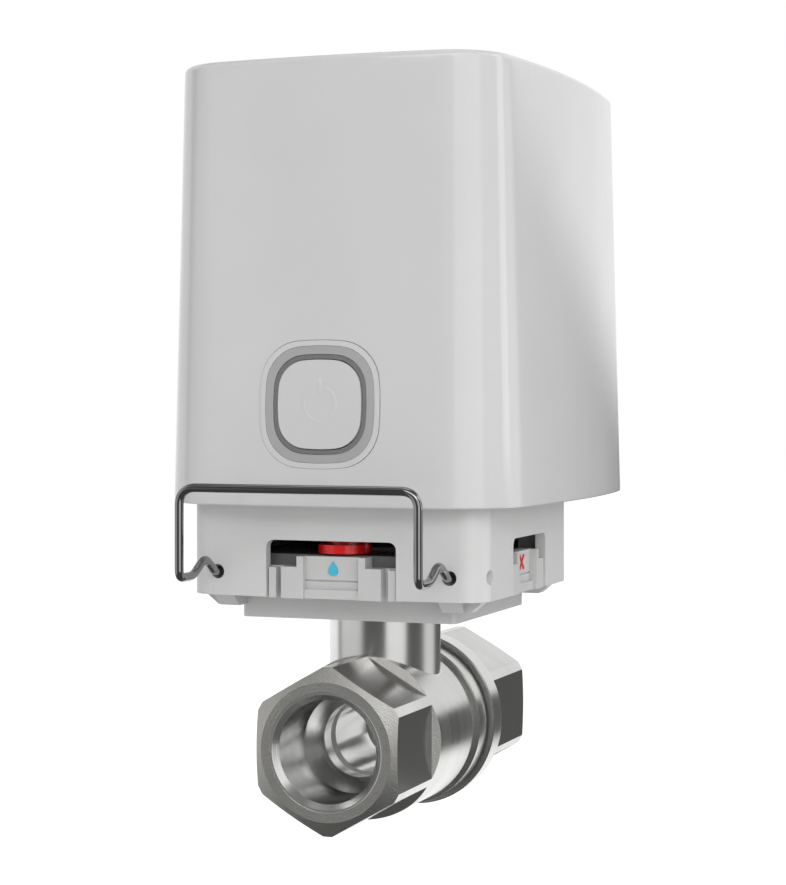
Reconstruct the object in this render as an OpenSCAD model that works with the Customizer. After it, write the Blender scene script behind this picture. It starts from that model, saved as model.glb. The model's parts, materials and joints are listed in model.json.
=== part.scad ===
// Smart water valve: a two-piece ball valve with a battery actuator that clips on to its base.
// X is to the right, Y runs along the pipe from inlet to outlet, Z is up along the stem.
// The origin is on the pipe axis where the inlet thread starts.

/* [Valve] */
// Minor diameter of both pipe threads
thread_d = 18.631; // [17:0.001:19.5]
// Length of each pipe thread
thread_len = 12; // [10:0.5:13]
// Depth of the 45 degree chamfer at each mouth
lead_in = 1; // [0.6:0.1:1.2]
// Width across the wrench flats
hex_af = 27; // [26:0.25:28]
// Diameter of the turned body
body_d = 30.2; // [29:0.1:31]
// Outer diameter of the flat end faces
end_face_d = 24.9; // [23.5:0.1:26]
// Depth of the chamfer round each end face
end_chamfer = 1.15; // [0.8:0.05:1.6]
// Overall length from end face to end face
valve_len = 75; // [72:0.5:82]
// Distance from the inlet face to the stem axis
stem_from_face = 30; // [29:0.25:33]
// Length of the front wrench flats
front_flats = 18.4; // [15:0.2:18.6]
// Length of the rear wrench flats
rear_flats = 24.4; // [18:0.2:24.6]
// Diameter of the ring at the body's rear edge
collar_d = 31.4; // [30.6:0.1:32.4]
// Largest diameter of the end cap
cap_d = 33.5; // [32.6:0.1:35]
// Diameter of the water way
port_d = 14; // [12:0.5:14.5]
// Diameter of the ball
ball_d = 21; // [20.5:0.25:21.5]
// Thickness of each ball seat
seat_t = 4; // [3:0.25:4.5]
// Diameter of the neck
neck_d = 21; // [20:0.25:23]
// Diameter of the stem
stem_d = 8; // [7:0.1:8.6]

/* [Base] */
// Height of the base's underside above the pipe axis
base_z = 22.5; // [21.5:0.25:26]
// Depth of the socket that takes the neck
neck_socket = 1.7; // [1.2:0.1:2.2]
// Width of the square foot block
foot_w = 41.6; // [38:0.4:43.2]
// Distance from the stem axis to the front of the foot block
foot_front = 19.5; // [18:0.1:20.5]
// Height of the foot block below the corner blocks
foot_t = 2.4; // [2.2:0.1:3]
// Thickness of the floor over the neck's shoulder
base_floor_t = 3.8; // [3:0.1:4.2]
// Height of the base's wall above the foot plate
base_wall_h = 7.7; // [7.2:0.1:8.5]
// Thickness of the dark liner
liner_t = 2; // [1.4:0.1:2.6]
// Width of the mark panels
panel_w = 10.6; // [8:0.2:11]
// Width of the pillars beside the panels
pillar_w = 4.3; // [3:0.1:4.5]

/* [Skirt] */
// Width of the skirt
skirt_w = 57.4; // [56.6:0.2:58.6]
// Distance from the stem axis to the front of the skirt
skirt_front = 27.8; // [27.5:0.1:29]
// Distance from the stem axis to the back of the skirt
skirt_back = 28.4; // [27.5:0.1:32]
// Radius of the skirt's upright corners
skirt_corner = 5; // [4.8:0.1:6]
// Wall thickness of the skirt
skirt_wall = 2; // [1.6:0.1:2.2]
// Height of the skirt
skirt_h = 17.5; // [16.5:0.25:20]
// Depth of the gap between the foot plate and the skirt's lower edge
skirt_drop = 2.2; // [1.8:0.1:2.6]
// Width of the front window
window_w = 25; // [24.4:0.1:26]
// Width of the side window
side_window_w = 20; // [19.6:0.1:22]
// Height of the windows
window_h = 10.3; // [9.6:0.1:11]
// Radius of the windows' upper corners
window_corner = 1.4; // [0.8:0.1:2]

/* [Cover] */
// Width of the cover at its lower edge
cover_w = 71.8; // [70:0.2:76]
// Depth of the cover at its lower edge
cover_depth = 92; // [91:0.5:100]
// Height of the cover
cover_h = 80; // [79:0.5:88]
// Distance that the cover's front stands ahead of the skirt
cover_ahead = 5.4; // [4.8:0.1:7]
// Wall thickness of the cover
cover_wall = 2.2; // [1.8:0.1:2.4]
// Draft of the walls, in millimetres per millimetre of height
cover_draft = 0.0245; // [0.015:0.0005:0.028]
// Radius of the upright corners
cover_corner = 13.8; // [12.5:0.1:16]
// Radius of the bowed side walls
cover_side_bow = 242; // [200:2:400]
// Radius of the bowed front and back walls
cover_front_bow = 207; // [180:1:400]
// Width of the bevel round the top
top_bevel = 1; // [0.6:0.1:1.4]
// Depth of the deck behind the cover's lower edge
deck_recess = 0.9; // [0.6:0.1:1.4]
// Thickness of the deck
deck_t = 2.5; // [2.2:0.1:3]

/* [Button] */
// Height of the button's centre above the cover's lower edge
button_up = 18.1; // [17:0.1:24]
// Width of the bezel
bezel_w = 22.7; // [22:0.1:24]
// Width of the light ring
ring_w = 20.7; // [20:0.1:21.2]
// Width of the seal
seal_w = 17.7; // [17:0.1:18.2]
// Width of the button
button_w = 15.8; // [14.5:0.1:16.2]
// Travel of the button
button_travel = 1.2; // [0.8:0.1:1.4]

/* [Wire clip] */
// Diameter of the wire
wire_d = 1.6; // [1.2:0.1:1.8]
// Distance of the clip's legs in from the skirt's sides
clip_in = 6.4; // [6.1:0.1:6.9]
// Distance from the skirt's front to the handle
clip_reach = 15.2; // [13:0.1:18]
// Height of the handle above the legs
clip_rise = 15.9; // [14:0.1:17]
// Height of the hump in each leg
hump_h = 2.9; // [2.2:0.1:3.8]
// Depth of the clip holes below the base's wall top
clip_drop = 1.25; // [1.2:0.05:1.8]
// Diameter of the clip holes in the skirt
clip_hole_d = 2.6; // [2.4:0.1:3]

/* [Drive] */
// Module of the gears
gear_module = 0.7; // [0.65:0.01:0.72]
// Teeth of the output gear
output_teeth = 42; // [40:2:42]
// Teeth of the reduction gear's wheel
wheel_teeth = 36; // [34:2:38]
// Teeth of both pinions
pinion_teeth = 14; // [14:1:15]
// Face width of the gears
gear_t = 5; // [4:0.25:5.5]
// Diameter of the output shaft in its bush
shaft_d = 10; // [9:0.25:11]
// Diameter of the pointer's round head
pointer_d = 9.8; // [8:0.1:10]
// Distance from the stem axis to the pointer's head
pointer_reach = 20.4; // [19:0.1:20.6]
// Diameter of the motor
motor_d = 24; // [20:0.5:25]
// Length of the motor
motor_len = 26; // [20:0.5:28]

/* [Electronics] */
// Diameter of a battery cell
cell_d = 17; // [16:0.1:17.2]
// Length of a battery cell with its nub, under a cover of usual height
cell_len = 34; // [32:0.25:34.2]
// Thickness of the circuit board
board_t = 1.6; // [1:0.1:2]
// Width of the circuit board
board_w = 36; // [30:0.5:37]
// Height of the circuit board
board_h = 64; // [50:0.5:66]

/* [Hidden] */
$fn = 96;

// Clearances: running fit, sliding fit, gap between moving bodies, and overlap of cutters
run = 0.06;
slip = 0.15;
gap = 0.3;
eps = 0.5;

// Angle left out of each corner arc at its ends, where it would only touch the bowed wall
corner_trim = 4;

// Pipe axis levels along Y, from the inlet face to the outlet face
thread_r = thread_d / 2;
face_y = -lead_in;
stem_y = face_y + stem_from_face;
outlet_y = face_y + valve_len;
port_r = port_d / 2;
ball_r = ball_d / 2;
body_r = body_d / 2;
collar_r = collar_d / 2;
cap_r = cap_d / 2;
end_face_r = end_face_d / 2;
chamber_r = ball_r + 0.7;
seat_out = ball_r - 0.3;
cap_thread_r = chamber_r + 1;
groove_at = 7.4;
groove_r = body_r - 0.8;
edge_r = 0.25;
collar_at = 9.5;
body_tail = 13.9;
cap_at = 15.2;
cap_rim = 5.2;
port_step = 3.7;
flat_lean = 0.45;

// Stem and neck levels along Z
stem_r = stem_d / 2;
stem_bore_r = stem_r + run;
slot_w = 4;
slot_z = port_r + 1;
flange_r = stem_r + 1.5;
flange_z = ball_r + 0.4;
flange_t = 1.4;
washer_t = 0.7;
pocket_top = flange_z + flange_t + run + washer_t;
neck_r = neck_d / 2;
neck_top = base_z + neck_socket;
spigot_r = stem_r + 4;
packing_r = stem_r + 2;
packing_z = neck_top + 0.8;
packing_t = 3;
spigot_top = neck_top + 8.2;
gland_head_t = 1.6;
gland_af = 2 * packing_r + 1;
oring_wire = 0.72;
oring_groove_w = 1.2;
oring_levels = [pocket_top + 3.4, pocket_top + 6.4];

// Base, skirt and deck levels along Z
flange_plate_z = base_z + foot_t;
skirt_z = flange_plate_z + skirt_drop;
wall_top = flange_plate_z + base_wall_h;
base_floor_top = neck_top + base_floor_t;
nut_t = 4;
nut_af = 2 * spigot_r + 8;
liner_top = wall_top + liner_t;
rail_h = liner_t - 0.8;
rail_top = wall_top + rail_h;
pointer_z = liner_top + gap;
window_top = skirt_z + window_h;
deck_z = skirt_z + skirt_h;
deck_top = deck_z + deck_t;
cover_z = deck_z - deck_recess;
clip_z = wall_top - clip_drop;
clip_x = skirt_w / 2 - clip_in;

// Plans: half width, half depth, side bow, front bow, corner radius
cover_plan = [cover_w / 2, cover_depth / 2, cover_side_bow, cover_front_bow, cover_corner];
cover_front_y = stem_y - skirt_front - cover_ahead;
cover_mid_y = cover_front_y + cover_depth / 2;
skirt_depth = skirt_front + skirt_back;
skirt_plan = [skirt_w / 2, skirt_depth / 2, 900, 340, skirt_corner];
skirt_mid_y = stem_y + (skirt_back - skirt_front) / 2;
skirt_front_y = stem_y - skirt_front;
base_gap = 0.6;
base_inset = skirt_wall + base_gap;
flange_top = skirt_z - slip;
flange_in = 1.55;
flange_bevel = 2.4;
foot_chamfer = 0.6;
block_x = foot_w / 2 - 1.1;
block_y = foot_front - 0.4;
dimple_y = skirt_front_y + 5.2;
dimple_depth = 1.1;
well_half = nut_af / sqrt(3) + 1.2;
rail_x = clip_x - 1.6;
clip_bore_r = wire_d / 2 + 0.25;

// Mark panels: recess from the skirt's face and heights
panel_recess = 1.7;
pillar_recess = 0.35;
pillar_slot = 1.2;
outer_recess = 0.8;
panel_top = liner_top - 0.1;
panel_groove_z = wall_top - 2.3;
panel_groove = 0.3;
sill_h = 1.5;
mark_t = 0.2;
mark_z = (panel_groove_z + panel_top) / 2;

// Deck, cover and its fasteners
cover_slip = 0.3;
deck_inset = cover_wall + cover_slip;
gasket_t = 1;
gasket_depth = 1.2;
gasket_z = deck_z + 0.8;
cover_top = cover_z + cover_h;
cover_inner_top = cover_top - cover_wall;
boss_r = 3;
rib_t = 1.2;
rib_w = 4;
rib_h = 5;
boss_in = 5.2;
foot_screw_in = skirt_corner - 5.2;
boss_h = 13;
pad_h = 1.4;
screw_r = 1.25;
screw_head_r = 2.4;
screw_head_t = 1.5;
screw_head_z = deck_z + 0.4;
screw_len = 8;

// Button group, along the cover's face normal
draft_angle = atan(cover_draft);
button_z = cover_z + button_up;
button_y = cover_front_y + button_up * cover_draft;
face_sink = 0.12;
bezel_t = cover_wall + 0.5;
bezel_flange_t = 1;
bezel_flange = 1.3;
seal_flange_t = 0.9;
seal_flange = 1;
button_flange_t = 1;
button_back = bezel_t + seal_flange_t + slip + button_flange_t;
switch_body = 6;
switch_h = 2;
switch_gap = 0.4;
plunger_r = 2.4;
plunger_len = 1;
board_y = button_y + button_back + plunger_len + button_travel + switch_gap + switch_h + 0.6;

// Drive train
bush_flange_t = 0.8;
drive_z = deck_top + bush_flange_t + gap;
wheel_z = drive_z + gear_t + 0.8;
plate_z = wheel_z + gear_t + 1.2;
plate_t = 2;
addendum = 0.8 * gear_module;
dedendum = 1.15 * gear_module;
backlash = 0.05;
pressure = 25;
output_pitch_r = output_teeth * gear_module / 2;
wheel_pitch_r = wheel_teeth * gear_module / 2;
pinion_pitch_r = pinion_teeth * gear_module / 2;
reduction_at = 60;
motor_at = 180;
reduction_reach = output_pitch_r + pinion_pitch_r;
motor_reach = wheel_pitch_r + pinion_pitch_r;
reduction_pos = [reduction_reach * cos(reduction_at), stem_y + reduction_reach * sin(reduction_at)];
motor_pos = reduction_pos + motor_reach * [cos(motor_at), sin(motor_at)];
axle_r = 1.5;
axle_seat = 1.5;
shaft_r = shaft_d / 2;
bush_r = shaft_r + 2;
hub_r = 7;
hub_top = deck_z - gap;
socket_depth = 5;
square_w = 1.4 * stem_r;
stem_top = pointer_z + socket_depth;
journal_r = 2.5;
motor_shaft_r = 1.5;
gearhead_t = 14;
post_r = 3;
post_screw_r = 1.25;
pointer_r = pointer_d / 2;
pointer_tier = 1.6;
pointer_tier_in = 0.8;
pointer_step = 1.8;
pointer_arm_w = 6;
pointer_arm_t = 2.4;
pointer_arm_z = window_top + 0.9;

// Battery pack behind the drive
cell_r = cell_d / 2;
// Two cells stand on each other, so each takes half of what a cover is higher or lower than usual
usual_cover_h = 80;
usual_board_h = 64;
cell_h = cell_len + (cover_h - usual_cover_h) / 2;
cell_pitch = cell_d + 1.6;
holder_wall = 1.3;
holder_floor = 1.5;
spring_h = 2;
cell_y = cover_front_y + cover_depth - cover_wall - cover_draft * cover_h - cell_r - holder_wall - 1.8;
cell_z = deck_top + holder_floor + spring_h;
pack_top = cell_z + 2 * cell_h + 0.5;
nub_r = 2.8;
nub_h = 0.8;

// Small shape helpers

function unit(v) = v / norm(v);

// Crossing point of two circles, on the left of the line from the first centre to the second
function crossing(a, ra, b, rb) =
  let (d = norm(b - a), k = (ra * ra - rb * rb + d * d) / (2 * d), e = (b - a) / d, h = sqrt(ra * ra - k * k))
  a + k * e + h * [-e[1], e[0]];

// Centre of a plan's corner arc, which touches the side bow and the front bow from inside
function corner_centre(p) = crossing([p[0] - p[2], 0], p[2] - p[4], [0, p[1] - p[3]], p[3] - p[4]);

// Directions of the two joints between the corner arc and the bows
function side_dir(p) = unit(corner_centre(p) - [p[0] - p[2], 0]);
function front_dir(p) = unit(corner_centre(p) - [0, p[1] - p[3]]);

// The part of a plan's sharp corner that lies outside its corner arc
module corner_waste(p, sx, sy, h, in0, in1) {
  c = corner_centre(p);
  far = 3 * p[4];
  a = atan2(side_dir(p)[1], side_dir(p)[0]) + corner_trim;
  b = atan2(front_dir(p)[1], front_dir(p)[0]) - corner_trim;
  u = far * [cos(a), sin(a)];
  v = far * [cos(b), sin(b)];
  grow = 2 * eps;
  lean = grow * (in1 - in0) / h;
  difference() {
    translate([0, 0, -eps])
      linear_extrude(h + 2 * eps)
        polygon([for (q = [c, c + u, c + u + v, c + v]) [sx * q[0], sy * q[1]]]);
    translate([sx * c[0], sy * c[1], -grow])
      cylinder(h = h + 2 * grow, r1 = p[4] - in0 + lean, r2 = p[4] - in1 - lean);
  }
}

// A block on a bowed rounded plan, inset by in0 at its foot and in1 at its top
module bowed_block(p, h, in0 = 0, in1 = 0) {
  difference() {
    intersection() {
      translate([p[0] - p[2], 0, 0]) cylinder(h = h, r1 = p[2] - in0, r2 = p[2] - in1, $fn = 720);
      translate([p[2] - p[0], 0, 0]) cylinder(h = h, r1 = p[2] - in0, r2 = p[2] - in1, $fn = 720);
      translate([0, p[1] - p[3], 0]) cylinder(h = h, r1 = p[3] - in0, r2 = p[3] - in1, $fn = 720);
      translate([0, p[3] - p[1], 0]) cylinder(h = h, r1 = p[3] - in0, r2 = p[3] - in1, $fn = 720);
    }
    for (sx = [-1, 1], sy = [-1, 1]) corner_waste(p, sx, sy, h, in0, in1);
  }
}

// A closed ring between two insets of one plan
module bowed_ring(p, h, outer, inner) {
  difference() {
    bowed_block(p, h, outer, outer);
    translate([0, 0, -eps]) bowed_block(p, h + 2 * eps, inner, inner);
  }
}

// Plan of a rounded square for the button group
function badge(w) = [w / 2, w / 2, 2.2 * w, 2.2 * w, 0.33 * w];

// Outline of a plan as points, one quarter and then its mirror images
function plan_quarter(p) =
  let (c = corner_centre(p), u = side_dir(p), v = front_dir(p), a = atan2(u[1], u[0]), b = atan2(v[1], v[0]))
  [
    for (s = [0:3]) [p[0] - p[2], 0] + p[2] * [cos(a * s / 3), sin(a * s / 3)],
    for (s = [1:8]) c + p[4] * [cos(a + (b - a) * s / 8), sin(a + (b - a) * s / 8)],
    for (s = [1:3]) [0, p[1] - p[3]] + p[3] * [cos(b + (90 - b) * s / 3), sin(b + (90 - b) * s / 3)]
  ];
function plan_outline(p) =
  let (q = plan_quarter(p), n = len(q) - 1)
  [
    for (i = [0:n - 1]) q[i],
    for (i = [0:n - 1]) [-q[n - i][0], q[n - i][1]],
    for (i = [0:n - 1]) -q[i],
    for (i = [0:n - 1]) [q[n - i][0], -q[n - i][1]]
  ];

// A block of the button group, between two depths behind the face
module badge_block(w, z0, z1) translate([0, 0, z0]) linear_extrude(z1 - z0) polygon(plan_outline(badge(w)));

// A frame of the button group: outer and inner width, and its depth range behind the face
module badge_ring(outer_w, inner_w, z0, z1) {
  difference() {
    badge_block(outer_w, z0, z1);
    badge_block(inner_w, z0 - eps, z1 + eps);
  }
}

// Places children on the pipe axis, with their Z along the pipe
module along_pipe(y = 0) translate([0, y, 0]) rotate([-90, 0, 0]) children();

// Places children on the stem axis at a height
module on_stem(z = 0) translate([0, stem_y, z]) children();

// Places children on the cover's front at the button, with their Z along the outward normal
module on_button() translate([0, button_y, button_z]) rotate([90 - draft_angle, 0, 0]) children();

module disc(r, z0, z1) translate([0, 0, z0]) cylinder(h = z1 - z0, r = r);

module pipe(r_out, r_in, z0, z1) {
  difference() {
    disc(r_out, z0, z1);
    disc(r_in, z0 - eps, z1 + eps);
  }
}

// A box from its lowest and highest corners
module box(low, high) translate(low) cube(high - low);

// Points of a bent wire: each inner corner of the route becomes a short curve
function bent(route, trim, steps = 5) = [
  route[0],
  for (i = [1:len(route) - 2])
    let (p = route[i], a = p + trim[i] * unit(route[i - 1] - p), b = p + trim[i] * unit(route[i + 1] - p))
    for (s = [0:steps]) let (t = s / steps) pow(1 - t, 2) * a + 2 * t * (1 - t) * p + t * t * b,
  route[len(route) - 1]
];

// Tangents along a list of points, and normals carried along them
function tangents(pts) = [
  for (i = [0:len(pts) - 1]) unit(pts[min(i + 1, len(pts) - 1)] - pts[max(i - 1, 0)])
];
function carried(ts, n, i = 0) =
  i == len(ts) ? [] : let (m = unit(n - (n * ts[i]) * ts[i])) concat([m], carried(ts, m, i + 1));

// A round wire swept along a list of points
module wire(pts, r, sides, start_normal) {
  ts = tangents(pts);
  ns = carried(ts, start_normal);
  rings = len(pts);
  polyhedron(
    [
      for (i = [0:rings - 1], k = [0:sides - 1])
        let (a = 360 * k / sides) pts[i] + r * (cos(a) * ns[i] + sin(a) * cross(ts[i], ns[i]))
    ],
    [
      [for (k = [0:sides - 1]) k],
      for (i = [0:rings - 2], k = [0:sides - 1])
        let (n = (k + 1) % sides) [i * sides + k, (i + 1) * sides + k, (i + 1) * sides + n, i * sides + n],
      [for (k = [sides - 1:-1:0]) (rings - 1) * sides + k]
    ]
  );
}

// Involute gear outline: tooth half angle at a radius, then the flanks tooth by tooth
function involute(a) = tan(a) * 180 / PI - a;
function half_tooth(teeth, r) =
  let (pitch = teeth * gear_module / 2, base = pitch * cos(pressure), at = acos(min(1, base / max(r, base))))
  90 / teeth - backlash / pitch * 180 / PI + involute(pressure) - involute(at);
function gear_points(teeth) =
  let (pitch = teeth * gear_module / 2, root = pitch - dedendum, tip = pitch + addendum, steps = 4)
  [
    for (k = [0:teeth - 1], side = [-1, 1], s = [0:steps])
      let (r = root + (tip - root) * (side < 0 ? s : steps - s) / steps, a = 360 * k / teeth + side * half_tooth(teeth, r))
      r * [cos(a), sin(a)]
  ];
module gear(teeth, z0, t, turn) translate([0, 0, z0]) rotate(turn) linear_extrude(t) polygon(gear_points(teeth));

// Valve

// Six wrench flats cut along the pipe between two places, with a leaning run-out at the second
module cut_flats(y0, y1, lean = 0) {
  reach = body_r - hex_af / 2 + 0.2;
  for (a = [0:60:300])
    along_pipe(y0)
      rotate(a)
        translate([hex_af / 2, body_d, 0])
          rotate([90, 0, 0])
            linear_extrude(2 * body_d) polygon([[0, 0], [reach, 0], [reach, y1 - y0 + lean * reach], [0, y1 - y0]]);
}

// A threaded mouth of the pipe: chamfer, thread bore and the step down to the port
module mouth() {
  disc(thread_r + lead_in + eps, -lead_in - eps, -lead_in);
  translate([0, 0, -lead_in]) cylinder(h = lead_in, r1 = thread_r + lead_in, r2 = thread_r);
  disc(thread_r, 0, thread_len);
  translate([0, 0, thread_len]) cylinder(h = port_step, r1 = thread_r, r2 = port_r);
}

module valve_body() {
  color("silver")
    difference() {
      union() {
        along_pipe()
          rotate_extrude()
            polygon([
              [0, face_y], [end_face_r, face_y], [body_r, face_y + end_chamfer],
              [body_r, stem_y + groove_at - edge_r], [body_r - edge_r, stem_y + groove_at],
              [groove_r, stem_y + groove_at], [groove_r, stem_y + collar_at],
              [collar_r - edge_r, stem_y + collar_at], [collar_r, stem_y + collar_at + edge_r],
              [collar_r, stem_y + body_tail - edge_r], [collar_r - edge_r, stem_y + body_tail],
              [0, stem_y + body_tail]
            ]);
        on_stem() disc(neck_r, 0, neck_top);
        on_stem() disc(spigot_r, 0, spigot_top);
      }
      cut_flats(face_y - eps, face_y + front_flats, flat_lean);
      along_pipe() mouth();
      along_pipe() disc(port_r, thread_len, stem_y);
      along_pipe(stem_y) disc(chamber_r, -seat_out, seat_out + eps);
      along_pipe(stem_y) disc(cap_thread_r, seat_out, body_tail + eps);
      on_stem() disc(flange_r + gap, 0, pocket_top);
      on_stem() disc(stem_bore_r, 0, spigot_top + eps);
      on_stem() disc(packing_r, packing_z, spigot_top + eps);
    }
}

module end_cap() {
  color("silver")
    difference() {
      along_pipe()
        rotate_extrude()
          polygon([
            [0, stem_y + seat_out], [cap_thread_r - 0.05, stem_y + seat_out],
            [cap_thread_r - 0.05, stem_y + cap_at], [cap_r - edge_r, stem_y + cap_at],
            [cap_r, stem_y + cap_at + edge_r], [cap_r, stem_y + cap_at + cap_rim - edge_r],
            [cap_r - edge_r, stem_y + cap_at + cap_rim], [body_r, stem_y + cap_at + cap_rim],
            [body_r, outlet_y - end_chamfer], [end_face_r, outlet_y], [0, outlet_y]
          ]);
      cut_flats(outlet_y - rear_flats, outlet_y + eps);
      translate([0, outlet_y - lead_in, 0]) rotate([90, 0, 0]) mouth();
      along_pipe() disc(port_r, stem_y, outlet_y - lead_in - thread_len);
    }
}

module body_gasket() {
  color("dimgray") along_pipe(stem_y) pipe(collar_r - 0.8, cap_thread_r, body_tail, cap_at);
}

// A ball seat on the inlet side, with its cup turned to the ball
module seat() {
  difference() {
    along_pipe(stem_y) pipe(chamber_r - 0.05, port_r, -seat_out, seat_t - seat_out);
    on_stem() sphere(r = ball_r + 0.1);
  }
}

module inlet_seat() color("white") seat();

module outlet_seat() color("white") translate([0, 2 * stem_y, 0]) rotate(180) seat();

module ball() {
  color("lightgray")
    difference() {
      on_stem() sphere(r = ball_r);
      along_pipe(stem_y) disc(port_r, -ball_d, ball_d);
      on_stem() box([-slot_w / 2, -ball_r, slot_z], [slot_w / 2, ball_r, ball_d]);
    }
}

module stem() {
  color("gainsboro")
    on_stem() {
      difference() {
        union() {
          disc(flange_r, flange_z, flange_z + flange_t);
          disc(stem_r, flange_z, pointer_z - 0.8);
        }
        for (z = oring_levels) pipe(stem_r + eps, stem_r - oring_wire, z - oring_groove_w / 2, z + oring_groove_w / 2);
      }
      box([-slot_w / 2 + 0.1, -flange_r + 1, slot_z + 0.1], [slot_w / 2 - 0.1, flange_r - 1, flange_z]);
      box([-square_w / 2, -square_w / 2, pointer_z - 0.8], [square_w / 2, square_w / 2, stem_top]);
    }
}

module thrust_washer() {
  color("white") on_stem() pipe(flange_r, stem_bore_r, pocket_top - washer_t, pocket_top);
}

module stem_orings() {
  color("black")
    on_stem()
      for (z = oring_levels)
        translate([0, 0, z])
          rotate_extrude() translate([stem_r - oring_wire / 2, 0]) circle(r = oring_wire / 2 - 0.01);
}

module stem_packing() {
  color("white") on_stem() pipe(packing_r - 0.04, stem_bore_r, packing_z, packing_z + packing_t);
}

module gland_nut() {
  color("goldenrod")
    on_stem()
      difference() {
        union() {
          disc(packing_r - 0.04, packing_z + packing_t, spigot_top);
          translate([0, 0, spigot_top]) cylinder(h = gland_head_t, d = gland_af / cos(30), $fn = 6);
        }
        disc(stem_bore_r, packing_z, spigot_top + gland_head_t + eps);
      }
}

module mounting_nut() {
  color("silver")
    on_stem()
      difference() {
        translate([0, 0, base_floor_top]) cylinder(h = nut_t, d = nut_af / cos(30), $fn = 6);
        disc(spigot_r + 0.04, base_floor_top - eps, base_floor_top + nut_t + eps);
      }
}

// Base

// A mark panel between its pillars, facing -Y: distance of the skirt's face from the stem axis, window width
module panel(face, opening) {
  front = panel_recess - face;
  back = base_inset + 1.4 - face;
  half = panel_w / 2;
  difference() {
    box([-half, front, flange_top], [half, back, panel_top]);
    box([-half - eps, front - eps, panel_groove_z - panel_groove], [half + eps, front + panel_groove, panel_groove_z]);
  }
  box([-half, pillar_recess + 0.7 - face, flange_top], [half, back, skirt_z + sill_h]);
  for (s = [-1, 1]) {
    x0 = s < 0 ? -half - pillar_w : half;
    box([x0, pillar_recess - face, flange_top], [x0 + pillar_w, back, wall_top]);
    rim = pillar_w * 0.3;
    box([s < 0 ? -half - rim : half, pillar_recess - face, wall_top], [s < 0 ? -half : half + rim, back, panel_top]);
    slot_end = half + pillar_w + pillar_slot;
    outer_end = opening / 2 - gap;
    if (outer_end > slot_end + 0.6)
      box(
        [s < 0 ? -outer_end : slot_end, outer_recess - face, flange_top],
        [s < 0 ? -slot_end : outer_end, back, wall_top - 0.2]
      );
  }
}

// The two panel places: the front, then the right side
module at_panels() {
  on_stem() panel(skirt_front, window_w);
  on_stem() rotate(90) panel(skirt_w / 2, side_window_w);
}

// The foot block, with its upright corners just broken
module foot_plate() {
  x = foot_w / 2;
  y = foot_w / 2;
  c = foot_chamfer;
  on_stem(base_z)
    linear_extrude(flange_top - base_z)
      polygon([
        [c - x, -foot_front], [x - c, -foot_front], [x, c - foot_front], [x, y - c],
        [x - c, y], [c - x, y], [-x, y - c], [-x, c - foot_front]
      ]);
}

// The four bevelled blocks beside the foot's corners, under the skirt's lower edge
module corner_blocks() {
  difference() {
    translate([0, skirt_mid_y, flange_plate_z])
      bowed_block(skirt_plan, flange_top - flange_plate_z, flange_in + flange_bevel, flange_in);
    on_stem() box([-block_x, -skirt_depth, base_z], [block_x, skirt_depth, rail_top]);
    on_stem() box([-skirt_w, -block_y, base_z], [skirt_w, block_y, rail_top]);
  }
}

module valve_base() {
  color("whitesmoke") {
    difference() {
      union() {
        foot_plate();
        corner_blocks();
        translate([0, skirt_mid_y, flange_top]) bowed_block(skirt_plan, rail_top - flange_top, base_inset, base_inset);
      }
      on_stem() disc(neck_r + 0.1, base_z - eps, neck_top);
      on_stem() disc(spigot_r + 0.1, base_z, rail_top);
      on_stem() box([-well_half, -well_half, base_floor_top], [well_half, well_half, rail_top]);
      box([-rail_x, skirt_front_y, wall_top], [rail_x, skirt_front_y + skirt_depth, rail_top + eps]);
      on_stem() box([rail_x - eps, -side_window_w / 2, wall_top], [skirt_w, side_window_w / 2, rail_top + eps]);
      for (s = [-1, 1])
        translate([s * clip_x, 0, clip_z]) along_pipe() disc(clip_bore_r, -skirt_depth, 2 * skirt_depth);
    }
    at_panels();
  }
}

module base_liner() {
  color("dimgray")
    difference() {
      intersection() {
        translate([0, skirt_mid_y, wall_top]) bowed_block(skirt_plan, liner_t, base_inset + 1.6, base_inset + 1.6);
        box([-rail_x + slip, skirt_front_y, wall_top], [rail_x - slip, skirt_front_y + skirt_depth, liner_top]);
      }
      on_stem() disc(well_half, wall_top - eps, liner_top + eps);
    }
}

// A falling drop: a round foot that narrows to a point above
module drop_outline(r, h) {
  polygon([
    for (i = [0:1:48])
      let (a = 360 * i / 48, rise = (1 + cos(a)) / 2)
      [r * sin(a) * pow(sin(a / 2), 1.4), h * (rise - 0.5)]
  ]);
}

module open_mark() {
  color("deepskyblue")
    on_stem(mark_z)
      translate([0, panel_recess - skirt_front, 0]) rotate([90, 0, 0]) linear_extrude(mark_t) drop_outline(1.35, 2.7);
}

module closed_mark() {
  color("red")
    on_stem(mark_z)
      rotate(90)
        translate([0, panel_recess - skirt_w / 2, 0])
          rotate([90, 0, 0])
            for (a = [-46, 46]) rotate(a) translate([0, 0, mark_t / 2]) cube([3.6, 0.42, mark_t], center = true);
}

// Actuator chassis and cover

// Places of the four cover screws: two inside the skirt's front corners and two behind the skirt
front_boss = [
  corner_centre(skirt_plan)[0] + foot_screw_in, skirt_mid_y - corner_centre(skirt_plan)[1] - foot_screw_in
];
back_boss = [corner_centre(cover_plan)[0] + boss_in, cover_mid_y + corner_centre(cover_plan)[1] + boss_in];
boss_places = [for (s = [-1, 1], b = [front_boss, back_boss]) [s * b[0], b[1]]];
module at_bosses() for (b = boss_places) translate([b[0], b[1], 0]) children();

// Places of the posts under the gear plate
post_places = [
  [-output_pitch_r - 3, stem_y - 8], [output_pitch_r + 5, stem_y - 8],
  [-output_pitch_r - 4, motor_pos[1] + 10], [reduction_pos[0] + wheel_pitch_r + 3, reduction_pos[1] + 9]
];

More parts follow.
